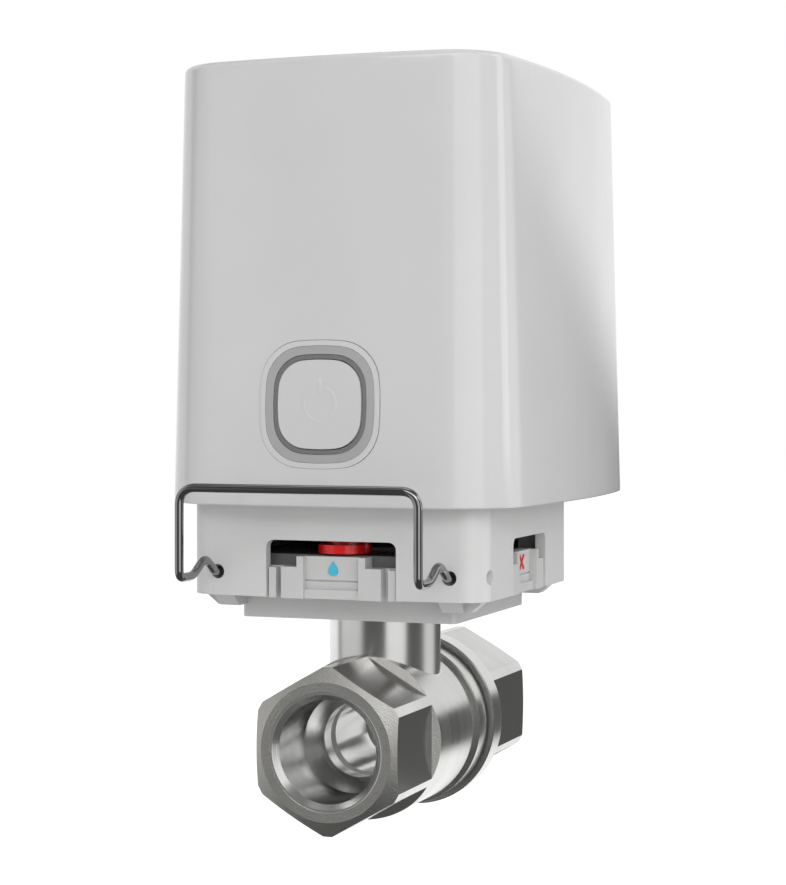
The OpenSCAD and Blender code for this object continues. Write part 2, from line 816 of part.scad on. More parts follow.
// The four feet inside the skirt that stand on the base's rails
module skirt_feet() {
  for (sx = [-1, 1], sy = [-1, 1])
    translate([sx * (rail_x + 2.4), stem_y + sy * 18.5, 0]) box([-1.9, -1.9, rail_top], [1.9, 1.9, deck_z]);
}

// A window's outline seen from outside, open below and rounded above
function window_points(w, h, r) = [
  [-w / 2, -eps], [w / 2, -eps],
  for (a = [0:15:90]) [w / 2 - r + r * cos(a), h - r + r * sin(a)],
  for (a = [90:15:180]) [r - w / 2 + r * cos(a), h - r + r * sin(a)]
];

// Cutter of a window in the skirt's face towards -Y
module window_cut(w, face) {
  on_skirt = -face / 2;
  translate([0, on_skirt, skirt_z])
    rotate([90, 0, 0]) linear_extrude(face) polygon(window_points(w, window_h, window_corner));
}

module chassis() {
  color("white")
    difference() {
      union() {
        difference() {
          translate([0, skirt_mid_y, skirt_z]) bowed_block(skirt_plan, skirt_h);
          translate([0, skirt_mid_y, skirt_z - eps]) bowed_block(skirt_plan, skirt_h + eps, skirt_wall, skirt_wall);
        }
        translate([0, cover_mid_y, deck_z]) bowed_block(cover_plan, gasket_z - deck_z, deck_inset, deck_inset);
        translate([0, cover_mid_y, gasket_z])
          bowed_block(cover_plan, gasket_t, deck_inset + gasket_depth, deck_inset + gasket_depth);
        translate([0, cover_mid_y, gasket_z + gasket_t])
          bowed_block(cover_plan, deck_top - gasket_z - gasket_t, deck_inset, deck_inset);
        skirt_feet();
        at_bosses() disc(boss_r, deck_top, deck_top + pad_h);
        for (s = [-1, 1], d = [-rib_t - slip, board_t + slip])
          translate([s * (board_w / 2 - rib_w) - rib_w / 2, board_y + d, deck_top]) cube([rib_w, rib_t, rib_h]);
      }
      on_stem() window_cut(window_w, skirt_front);
      on_stem() rotate(90) window_cut(side_window_w, skirt_w / 2);
      for (s = [-1, 1])
        translate([s * clip_x, 0, clip_z]) along_pipe() disc(clip_hole_d / 2, skirt_front_y - eps, skirt_front_y + skirt_depth / 2);
      for (s = [-1, 1])
        translate([s * half_width_at(skirt_plan, dimple_y - skirt_mid_y, 0), dimple_y, clip_z])
          rotate([0, 90, 0]) disc(clip_hole_d / 2, -dimple_depth, dimple_depth);
      on_stem() disc(bush_r, deck_z - eps, deck_top + eps);
      translate([reduction_pos[0], reduction_pos[1], 0]) disc(axle_r + 0.02, deck_top - axle_seat, deck_top + eps);
      at_bosses() disc(screw_r + slip, deck_z - eps, deck_top + pad_h + eps);
      at_bosses() disc(screw_head_r + slip, deck_z - eps, screw_head_z + screw_head_t);
    }
}

module cover() {
  straight = cover_h - top_bevel;
  drawn = straight * cover_draft;
  inner = cover_h - cover_wall;
  color("white")
    difference() {
      union() {
        difference() {
          translate([0, cover_mid_y, cover_z]) {
            bowed_block(cover_plan, straight, 0, drawn);
            translate([0, 0, straight]) bowed_block(cover_plan, top_bevel, drawn, drawn + top_bevel);
          }
          translate([0, cover_mid_y, cover_z - eps])
            bowed_block(cover_plan, inner + eps, cover_wall, cover_wall + inner * cover_draft);
        }
        at_bosses() disc(boss_r, deck_top + pad_h, deck_top + pad_h + boss_h);
        cover_ribs();
      }
      on_button() badge_block(bezel_w + 2 * slip, -cover_wall * 2, cover_wall * 2);
      at_bosses() disc(screw_r, deck_top, deck_top + pad_h + screw_len);
    }
}

// Half width of a plan, with its corner and inset, at a distance from its middle
function half_width_at(p, dy, inset) =
  let (c = corner_centre(p))
  abs(dy) > c[1]
    ? c[0] + sqrt(pow(p[4] - inset, 2) - pow(abs(dy) - c[1], 2))
    : p[0] - p[2] + sqrt(pow(p[2] - inset, 2) - dy * dy);

// Ribs that tie the screw bosses to the cover's side walls
module cover_ribs() {
  z0 = deck_top + pad_h;
  for (b = boss_places)
    let (s = sign(b[0]), x0 = b[0] + s * (boss_r - 0.6), x1 = s * half_width_at(cover_plan, b[1] - cover_mid_y, cover_wall))
    box([min(x0, x1), b[1] - 0.8, z0], [max(x0, x1), b[1] + 0.8, z0 + boss_h]);
}

module cover_gasket() {
  color("darkslategray")
    translate([0, cover_mid_y, gasket_z]) bowed_ring(cover_plan, gasket_t, cover_wall + 0.12, deck_inset + gasket_depth);
}

module cover_screws() {
  color("gray")
    at_bosses() {
      disc(screw_r - 0.04, screw_head_z + screw_head_t, deck_top + pad_h + screw_len - 1);
      difference() {
        disc(screw_head_r, screw_head_z, screw_head_z + screw_head_t);
        box([-1.6, -0.3, screw_head_z - eps], [1.6, 0.3, screw_head_z + 0.7]);
        box([-0.3, -1.6, screw_head_z - eps], [0.3, 1.6, screw_head_z + 0.7]);
      }
    }
}

// Button group

module button_bezel() {
  color("white")
    on_button() {
      badge_ring(bezel_w, ring_w + 0.1, -bezel_t, -face_sink);
      badge_ring(bezel_w + 2 * bezel_flange, ring_w - 1.2, -bezel_t - bezel_flange_t, -bezel_t);
    }
}

module light_ring() {
  color("darkgray") on_button() badge_ring(ring_w, seal_w + 0.1, -bezel_t, -face_sink - 0.05);
}

module button_seal() {
  color("dimgray")
    on_button() {
      badge_ring(seal_w, button_w + 2 * slip, -bezel_t, -face_sink - 0.3);
      badge_ring(seal_w + seal_flange, button_w + 2 * slip, -bezel_t - seal_flange_t, -bezel_t);
    }
}

module power_button() {
  color("white")
    on_button() {
      badge_block(button_w, button_flange_t - button_back, 0);
      badge_block(button_w + 1, -button_back, button_flange_t - button_back);
      disc(plunger_r, -button_back - plunger_len, -button_back);
    }
}

// Electronics

module tact_switch() {
  color("black") {
    translate([-switch_body / 2, board_y - switch_h, button_z - switch_body / 2])
      cube([switch_body, switch_h, switch_body]);
    translate([0, 0, button_z]) along_pipe() disc(1.75, board_y - switch_h - 0.4, board_y - switch_h);
  }
}

module status_leds() {
  color("palegreen")
    for (a = [45:90:315])
      translate([13 * cos(a), board_y - 1.2, button_z + 13 * sin(a)]) translate([-1.4, 0, -1.4]) cube([2.8, 1.2, 2.8]);
}

module circuit_board() {
  color("darkgreen") box([-board_w / 2, board_y, deck_top], [board_w / 2, board_y + board_t, deck_top + board_h]);
}

module board_parts() {
  back = board_y + board_t;
  u = board_h / usual_board_h;
  color("dimgray") {
    box([-9 * u, back, deck_top + 44 * u], [9 * u, back + 2.4 * u, deck_top + 60 * u]);
    box([-17 * u, back, deck_top + 30 * u], [-9 * u, back + 1.2 * u, deck_top + 38 * u]);
    box([6 * u, back, deck_top + 28 * u], [16 * u, back + 1.6 * u, deck_top + 36 * u]);
    translate([-5 * u, 0, deck_top + 33 * u]) along_pipe() disc(3 * u, back, back + 5 * u);
    box([-16 * u, back, deck_top + 17 * u], [-8 * u, back + 4 * u, deck_top + 22 * u]);
  }
}

module antenna() {
  top = deck_top + board_h;
  color("gold") {
    box([-15, board_y - 1.2, top - 8], [-13, board_y, top]);
    box([-15, board_y - 1.2, top], [15, board_y + board_t, top + 0.5]);
  }
}

module battery_holder() {
  half = cell_pitch / 2 + cell_r + holder_wall;
  front = cell_y - cell_r * 0.35;
  back = cell_y + cell_r + 0.3;
  color("dimgray") {
    box([-half, front, deck_top], [half, back + holder_wall, deck_top + holder_floor]);
    box([-half, back, deck_top + holder_floor], [half, back + holder_wall, pack_top]);
    for (s = [-1, 1])
      box(
        [s < 0 ? -half : half - holder_wall + slip, front, deck_top + holder_floor],
        [s < 0 ? holder_wall - slip - half : half, back, pack_top]
      );
    box([-half, front, pack_top], [half, back + holder_wall, pack_top + holder_floor - 0.3]);
  }
}

// One cell of the pack: column -1 or 1, level 0 or 1; the columns stand opposite ways up
module cell(column, level) {
  z = cell_z + level * cell_h;
  flip = column > 0;
  translate([column * cell_pitch / 2, cell_y, z]) {
    disc(cell_r, flip ? nub_h : 0, flip ? cell_h : cell_h - nub_h);
    disc(nub_r, flip ? 0 : cell_h - nub_h, flip ? nub_h : cell_h);
  }
}

module battery_1() color("royalblue") cell(-1, 0);
module battery_2() color("royalblue") cell(-1, 1);
module battery_3() color("royalblue") cell(1, 0);
module battery_4() color("royalblue") cell(1, 1);

// Points of a cone-shaped coil between two heights
function coil(r0, r1, z0, z1, turns) = [
  for (i = [0:turns * 14])
    let (t = i / (turns * 14), r = r0 + (r1 - r0) * t) [r * cos(360 * turns * t), r * sin(360 * turns * t), z0 + (z1 - z0) * t]
];

module battery_springs() {
  low = deck_top + holder_floor + 0.45;
  color("gainsboro")
    for (s = [-1, 1])
      translate([s * cell_pitch / 2, cell_y, 0]) {
        wire(coil(5, 3.2, low, cell_z - 0.4, 2), 0.35, 8, [0, 0, 1]);
        disc(5.6, deck_top + holder_floor, low - 0.3);
      }
}

module battery_contacts() {
  color("gold") box([-cell_pitch / 2 - 5, cell_y - 4, pack_top - 0.5], [cell_pitch / 2 + 5, cell_y + 4, pack_top]);
}

// Drive

module motor() {
  z0 = plate_z + plate_t + gearhead_t;
  color("silver")
    translate([motor_pos[0], motor_pos[1], 0]) {
      disc(motor_d / 2, z0, z0 + motor_len);
      disc(4, z0 + motor_len, z0 + motor_len + 2);
      for (s = [-1, 1]) translate([s * 7, 0, z0 + motor_len]) box([-0.3, -1.2, 0], [0.3, 1.2, 4]);
    }
}

module gearhead() {
  z0 = plate_z + plate_t;
  color("goldenrod")
    translate([motor_pos[0], motor_pos[1], 0])
      difference() {
        disc(motor_d / 2, z0, z0 + gearhead_t);
        disc(motor_shaft_r + run, z0 - eps, z0 + 6);
      }
}

module motor_pinion() {
  turn = motor_at + 180 + 180 / pinion_teeth;
  color("gold")
    translate([motor_pos[0], motor_pos[1], 0]) {
      gear(pinion_teeth, wheel_z - 0.2, gear_t + 0.4, turn);
      disc(motor_shaft_r, wheel_z + gear_t + 0.2, plate_z + plate_t + 5);
    }
}

module reduction_gear() {
  color("ivory")
    translate([reduction_pos[0], reduction_pos[1], 0])
      difference() {
        union() {
          gear(pinion_teeth, drive_z, gear_t + 0.8, reduction_at + 180 + 180 / pinion_teeth);
          gear(wheel_teeth, wheel_z, gear_t, motor_at);
          disc(axle_r + 1.2, deck_top + gap, drive_z);
          disc(axle_r + 1.2, wheel_z + gear_t, plate_z - gap);
        }
        disc(axle_r + run, deck_top, plate_z);
      }
}

module gear_axle() {
  color("silver")
    translate([reduction_pos[0], reduction_pos[1], 0]) disc(axle_r, deck_top - axle_seat, plate_z + plate_t);
}

module output_gear() {
  color("ivory")
    on_stem()
      difference() {
        union() {
          gear(output_teeth, drive_z, gear_t, reduction_at);
          disc(hub_r, drive_z, drive_z + gear_t + 0.4);
        }
        disc(shaft_r, drive_z - eps, drive_z + gear_t + 2);
      }
}

module drive_shaft() {
  color("dimgray")
    on_stem()
      difference() {
        union() {
          disc(hub_r, pointer_z, hub_top);
          disc(shaft_r, hub_top, drive_z + gear_t + 1.5);
          disc(journal_r, drive_z + gear_t + 1.5, plate_z + plate_t);
        }
        box(
          [-square_w / 2 - 0.08, -square_w / 2 - 0.08, pointer_z - eps],
          [square_w / 2 + 0.08, square_w / 2 + 0.08, stem_top + 0.2]
        );
      }
}

module shaft_bush() {
  color("goldenrod")
    on_stem() {
      pipe(bush_r - 0.02, shaft_r + run, deck_z, deck_top);
      pipe(bush_r + 1.2, shaft_r + run, deck_top, deck_top + bush_flange_t);
    }
}

module position_pointer() {
  bore = hub_r + 0.02;
  arm_top = pointer_arm_z + pointer_arm_t;
  color("red")
    on_stem()
      difference() {
        union() {
          disc(hub_r + 2, pointer_arm_z, arm_top);
          box([-pointer_arm_w / 2, -pointer_reach, pointer_arm_z], [pointer_arm_w / 2, 0, arm_top]);
          translate([0, -pointer_reach, 0]) disc(pointer_r, pointer_z, pointer_z + pointer_tier);
          translate([0, pointer_step - pointer_reach, 0]) disc(pointer_r - pointer_tier_in, pointer_z, arm_top);
        }
        disc(bore, pointer_arm_z - eps, arm_top + eps);
      }
}

module gear_plate() {
  left = post_places[2][0] - 4;
  right = post_places[3][0] + 4;
  color("silver")
    difference() {
      box([left, post_places[0][1] - 4, plate_z], [right, post_places[2][1] + 4, plate_z + plate_t]);
      on_stem() disc(journal_r + run, plate_z - eps, plate_z + plate_t + eps);
      translate([reduction_pos[0], reduction_pos[1], 0]) disc(axle_r + 0.02, plate_z - eps, plate_z + plate_t + eps);
      translate([motor_pos[0], motor_pos[1], 0]) disc(motor_shaft_r + 1, plate_z - eps, plate_z + plate_t + eps);
      for (p = post_places) translate([p[0], p[1], 0]) disc(post_screw_r + slip, plate_z - eps, plate_z + plate_t + eps);
    }
}

module gear_posts() {
  color("dimgray")
    for (p = post_places)
      translate([p[0], p[1], 0])
        difference() {
          disc(post_r, deck_top, plate_z);
          disc(post_screw_r + 0.02, plate_z - 6.5, plate_z + eps);
        }
}

module gear_screws() {
  color("gray")
    for (p = post_places)
      translate([p[0], p[1], 0]) {
        disc(post_screw_r, plate_z - 6, plate_z + plate_t);
        disc(2.3, plate_z + plate_t, plate_z + plate_t + 1.5);
      }
}

module limit_switches() {
  front = board_y + board_t + slip + rib_t + gap;
  color("black")
    for (s = [-1, 1])
      translate([s * 9, front, deck_top]) {
        translate([-5, 0, 0]) cube([10, 4.2, 5.5]);
        translate([-0.6, 4.2, 2.4]) cube([1.2, 0.5, 1.6]);
      }
}

// Wire clip: one bent wire from the end of the left leg to the end of the right leg
module wire_clip() {
  handle_y = skirt_front_y - clip_reach;
  foot_y = handle_y + 5.6;
  peak_y = skirt_front_y - 4.9;
  mouth_y = skirt_front_y - 0.3;
  end_y = stem_y + 22;
  leg = [[end_y, 0], [mouth_y, 0], [peak_y, hump_h], [foot_y, 0], [handle_y, 0], [handle_y, clip_rise]];
  left = [for (q = leg) [-clip_x, q[0], clip_z + q[1]]];
  right = [for (i = [len(leg) - 1:-1:0]) [clip_x, leg[i][0], clip_z + leg[i][1]]];
  trims = [0, 1.3, 1.9, 1.6, 1.6, 3.2];
  color("silver")
    wire(
      bent(concat(left, right), concat(trims, [for (i = [len(trims) - 1:-1:0]) trims[i]])),
      wire_d / 2, 12, [0, 0, 1]
    );
}

valve_body();
end_cap();
body_gasket();
inlet_seat();
outlet_seat();
ball();
stem();
thrust_washer();
stem_orings();
stem_packing();
gland_nut();
mounting_nut();
valve_base();
base_liner();
open_mark();
closed_mark();
chassis();
cover();
cover_gasket();
cover_screws();
button_bezel();
light_ring();
button_seal();
power_button();
tact_switch();
status_leds();
circuit_board();
board_parts();
antenna();
battery_holder();
battery_1();
battery_2();
battery_3();
battery_4();
battery_springs();
battery_contacts();
motor();
gearhead();
motor_pinion();
reduction_gear();
gear_axle();
output_gear();
drive_shaft();
shaft_bush();
gear_plate();
gear_posts();
gear_screws();
limit_switches();
position_pointer();
wire_clip();
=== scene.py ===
"""Dresses the smart water valve: smooth shells, the bent wire clip, finishes, camera and studio light.

Sizes in the classes are millimetres in the part's own frame: X to the right, Y along the pipe from inlet to
outlet, Z up along the stem, with the origin on the pipe axis where the inlet thread starts.
"""

from __future__ import annotations

import json
import logging
import math
from dataclasses import dataclass, field
from enum import Enum
from functools import reduce

import bmesh
import bpy
import numpy as np
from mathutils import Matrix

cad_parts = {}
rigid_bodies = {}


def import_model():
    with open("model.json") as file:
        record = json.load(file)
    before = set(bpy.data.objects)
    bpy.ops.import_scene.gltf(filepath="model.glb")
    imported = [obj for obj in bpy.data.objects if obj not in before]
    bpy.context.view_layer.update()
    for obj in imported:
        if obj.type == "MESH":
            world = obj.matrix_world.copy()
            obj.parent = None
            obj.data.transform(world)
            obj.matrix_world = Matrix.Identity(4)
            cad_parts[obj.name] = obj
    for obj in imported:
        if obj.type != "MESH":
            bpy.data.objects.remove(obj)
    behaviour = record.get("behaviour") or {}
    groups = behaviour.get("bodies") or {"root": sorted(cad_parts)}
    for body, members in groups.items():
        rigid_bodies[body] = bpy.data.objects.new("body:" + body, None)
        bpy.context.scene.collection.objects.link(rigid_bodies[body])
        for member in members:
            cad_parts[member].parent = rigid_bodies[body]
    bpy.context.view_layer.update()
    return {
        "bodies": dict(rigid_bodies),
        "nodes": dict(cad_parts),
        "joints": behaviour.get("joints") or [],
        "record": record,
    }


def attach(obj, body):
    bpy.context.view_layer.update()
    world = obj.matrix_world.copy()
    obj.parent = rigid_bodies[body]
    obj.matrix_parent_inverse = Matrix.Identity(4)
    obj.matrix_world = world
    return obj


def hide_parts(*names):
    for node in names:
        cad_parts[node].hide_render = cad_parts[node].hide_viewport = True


LOG = logging.getLogger("water_valve")
MM = 0.001
WELD_M = 2e-6
SLIVER_M = 1e-7
MAIN_SHADER = "Principled BSDF"

Rgb = tuple[float, float, float]
Vec = tuple[float, float, float]
Pair = tuple[float, float]
Steps = tuple[int, int, int]
Span = tuple[int, int, int, int]
Mesh = tuple[np.ndarray, np.ndarray]
Nodes = dict[str, bpy.types.Object]
Socket = bpy.types.NodeSocket


class Body(Enum):
    """The bodies of the part that pieces made here ride on."""

    HOUSING = "housing"
    BUTTON = "button"
    CLIP = "clip"


class Grain(Enum):
    """Kinds of fine surface relief, each with the size of its grain in millimetres."""

    PEEL = 1.6
    SPARK = 0.16
    BLAST = 0.28
    DRAWN = 0.5
    SMOOTH = 0.6


# Mesh helpers


def grid_faces(rows: int, cols: int, wrap: bool) -> np.ndarray:
    """Quads of a grid whose points are numbered row by row.

    Args:
        rows: Number of point rows.
        cols: Number of points in a row.
        wrap: Whether the last column joins the first one.

    Returns:
        One row of four point numbers for each quad.
    """
    i, j = np.meshgrid(np.arange(rows - 1), np.arange(cols if wrap else cols - 1), indexing="ij")
    right = (j + 1) % cols
    here, above = i * cols, (i + 1) * cols
    return np.stack([here + j, here + right, above + right, above + j], -1).reshape(-1, 4)


def new_piece(name: str, points: np.ndarray, faces: np.ndarray, sharp: float = 35.0) -> bpy.types.Object:
    """Makes a closed, smooth mesh object from points in millimetres.

    Args:
        name: Object name.
        points: Points, one row each.
        faces: Quads as rows of point numbers; a quad whose last two corners are equal becomes a triangle.
        sharp: Angle in degrees above which an edge stays sharp.

    Returns:
        The new object, at the origin.
    """
    mesh = bpy.data.meshes.new(name)
    rings = [row[:3] if row[2] == row[3] else row for row in faces.tolist()]
    mesh.from_pydata((points * MM).tolist(), [], rings)
    work = bmesh.new()
    work.from_mesh(mesh)
    bmesh.ops.remove_doubles(work, verts=work.verts, dist=WELD_M)
    bmesh.ops.dissolve_degenerate(work, edges=work.edges, dist=SLIVER_M)
    bmesh.ops.recalc_face_normals(work, faces=work.faces)
    work.to_mesh(mesh)
    work.free()
    mesh.shade_smooth()
    mesh.set_sharp_from_angle(angle=math.radians(sharp))
    piece = bpy.data.objects.new(name, mesh)
    bpy.context.scene.collection.objects.link(piece)
    return piece


def joined(parts: list[Mesh]) -> Mesh:
    """Puts several point and face arrays into one pair, with the point numbers moved on."""
    starts = np.cumsum([0] + [len(p) for p, _ in parts[:-1]])
    return np.concatenate([p for p, _ in parts]), np.concatenate([f + s for (_, f), s in zip(parts, starts)])


def window_loop(rings: np.ndarray, r0: int, r1: int, c0: int, c1: int) -> np.ndarray:
    """Points once round a window of a grid, between two rows and two columns."""
    return np.concatenate([rings[r0, c0:c1], rings[r0:r1, c1], rings[r1, c1:c0:-1], rings[r1:r0:-1, c0]])


def arc(start: float, stop: float, count: int) -> np.ndarray:
    """Angles in radians, evenly spaced, from degrees."""
    return np.radians(np.linspace(start, stop, count))


def unit(rows: np.ndarray) -> np.ndarray:
    """Vectors, one in each row, divided by their lengths."""
    return rows / np.linalg.norm(rows, axis=1, keepdims=True)


@dataclass(frozen=True)
class Plan:
    """A rounded rectangle with bowed sides, drawn with three arcs in each quarter."""

    half_w: float
    half_d: float
    side_bow: float
    front_bow: float
    corner: float

    def bow_centres(self) -> tuple[np.ndarray, np.ndarray]:
        """Centres of the side bow and the front bow: each lies its radius behind the middle of its side."""
        return np.array([self.half_w - self.side_bow, 0.0]), np.array([0.0, self.half_d - self.front_bow])

    def corner_centre(self) -> np.ndarray:
        """Meeting point of two circles: the corner arc touches the side bow and the front bow from inside.

        Returns:
            Centre of the corner arc.
        """
        a, b = self.bow_centres()
        ra, rb = self.side_bow - self.corner, self.front_bow - self.corner
        d = float(np.linalg.norm(b - a))
        e = (b - a) / d
        k = (ra * ra - rb * rb + d * d) / (2 * d)
        return a + k * e + math.sqrt(ra * ra - k * k) * np.array([-e[1], e[0]])

    def rays(self, side: int, corner: int, front: int) -> tuple[np.ndarray, np.ndarray, np.ndarray]:
        """Arc centre, arc radius and outward direction of each outline point.

        An outline inset by t is centre + (radius - t) * direction, so all insets share their joints.

        Args:
            side: Steps along half a side.
            corner: Steps round a corner.
            front: Steps along half the front.

        Returns:
            Centres, radii and directions, once round the plan.
        """
        side_c, front_c = self.bow_centres()
        corner_c = self.corner_centre()
        a, b = (math.degrees(math.atan2(v[1], v[0])) for v in (corner_c - side_c, corner_c - front_c))
        turn = np.concatenate([arc(0, a, side + 1)[:-1], arc(a, b, corner + 1)[:-1], arc(b, 90, front + 1)])
        kinds = np.repeat([0, 1, 2], [side, corner, front + 1])
        centre = np.array([side_c, corner_c, front_c])[kinds]
        radius = np.array([self.side_bow, self.corner, self.front_bow])[kinds]
        way = np.stack([np.cos(turn), np.sin(turn)], -1)
        flip = np.array([-1.0, 1.0])
        centre = np.concatenate([centre[:-1], (centre * flip)[::-1][:-1]])
        way = np.concatenate([way[:-1], (way * flip)[::-1][:-1]])
        radius = np.concatenate([radius[:-1], radius[::-1][:-1]])
        return np.concatenate([centre, -centre]), np.tile(radius, 2), np.concatenate([way, -way])


# Shader helpers


class NodeMaker:
    """Adds and joins shader nodes in one tree."""

    # Sockets of a mix node by data type: share, first value, second value, result
    MIX_SOCKETS = {"RGBA": (0, 6, 7, 2), "FLOAT": (0, 2, 3, 0)}

    def __init__(self, tree: bpy.types.NodeTree) -> None:
        """Keeps the tree that nodes are added to."""
        self.tree = tree

    def put(self, socket: Socket, value: object) -> None:
        """Links an output to a socket, or sets its plain value.

        Args:
            socket: The socket to fill.
            value: An output socket or a plain value.
        """
        if isinstance(value, Socket):
            self.tree.links.new(value, socket)
        else:
            socket.default_value = value

    def fill(self, node: bpy.types.Node, **values: object) -> None:
        """Sets a node's properties, or its sockets of the same name.

        Args:
            node: The node to fill.
            values: Property or socket values; a socket as value is linked, and _ stands for a space.
        """
        for key, value in values.items():
            if hasattr(node, key):
                setattr(node, key, value)
                continue
            sockets = [s for s in node.inputs if s.name == key.replace("_", " ") and s.enabled]
            self.put(sockets[0], value)

    def add(self, kind: str, **values: object) -> bpy.types.Node:
        """Adds a node and fills it by name.

        Args:
            kind: Node type.
            values: Property or socket values.

        Returns:
            The node.
        """
        made = self.tree.nodes.new(kind)
        self.fill(made, **values)
        return made

    def feed(self, kind: str, given: tuple, **values: object) -> bpy.types.Node:
        """Adds a node and fills its first sockets in order.

        Args:
            kind: Node type.
            given: Values of the sockets, from the first one.
            values: Property values.

        Returns:
            The node.
        """
        made = self.add(kind, **values)
        for socket, value in zip(made.inputs, given):
            self.put(socket, value)
        return made

    def maths(self, step: str, a: object, b: object = 0.0, c: object = 0.0) -> Socket:
        """Result of a math node on up to three values."""
        return self.feed("ShaderNodeMath", (a, b, c), operation=step).outputs[0]

    def chain(self, step: str, first: object, *others: object) -> Socket:
        """Result of one math operation carried through several values in turn."""
        return reduce(lambda a, b: self.maths(step, a, b), others, first)

    def hypot(self, a: object, b: object) -> Socket:
        """Square root of a squared plus b squared."""
        squares = [self.maths("MULTIPLY", value, value) for value in (a, b)]
        return self.maths("SQRT", self.maths("ADD", *squares))

    def noise(self, place: Socket, scale: object, detail: float, **values: float) -> Socket:
        """Value of a noise texture; the scale counts cells in a metre."""
        return self.add("ShaderNodeTexNoise", Vector=place, Scale=scale, Detail=detail, **values).outputs[0]

    def mix(self, kind: str, way: str, share: object, a: object, b: object) -> Socket:
        """Mix of two colours or two numbers.

        Args:
            kind: Data type of the node.
            way: Blend type of the node.
            share: Share of the second value.
            a: First value.
            b: Second value.

        Returns:
            The mix.
        """
        made = self.add("ShaderNodeMix", data_type=kind, blend_type=way)
        *given, result = self.MIX_SOCKETS[kind]
        for index, value in zip(given, (share, a, b)):
            self.put(made.inputs[index], value)
        return made.outputs[result]

    def blend(self, share: object, a: object, b: object, way: str = "MIX") -> Socket:
        """Mix of two colours."""
        return self.mix("RGBA", way, share, a, b)

    def fade(self, share: object, a: object, b: object) -> Socket:
        """Mix of two numbers."""
        return self.mix("FLOAT", "MIX", share, a, b)

    def ramp(self, value: object, edges: Pair, low: float = 0.0, high: float = 1.0) -> Socket:
        """Clamped smooth change from low to high while a value goes from the first edge to the second."""
        given = (value, *edges, low, high)
        return self.feed("ShaderNodeMapRange", given, interpolation_type="SMOOTHSTEP").outputs[0]

    def ray_kinds(self) -> tuple[Socket, Socket]:
        """Whether a ray comes from the camera, and whether it was mirrored or went through clear matter."""
        rays = self.add("ShaderNodeLightPath").outputs
        return rays["Is Camera Ray"], self.maths("MAXIMUM", rays["Is Glossy Ray"], rays["Is Transmission Ray"])


def rgba(colour: Rgb) -> tuple[float, ...]:
    """A colour with full alpha."""
    return (*colour, 1.0)


def grey(level: float) -> Rgb:
    """A colour with three equal parts."""
    return (level, level, level)


def mm(start: float, stop: float) -> Pair:
    """Two millimetre values in metres."""
    return start * MM, stop * MM


def new_material(name: str) -> tuple[bpy.types.Material, NodeMaker]:
    """Makes a material with nodes.

    Args:
        name: Material name.

    Returns:
        The material and the maker of its nodes.
    """
    material = bpy.data.materials.new(name)
    material.use_nodes = True
    return material, NodeMaker(material.node_tree)


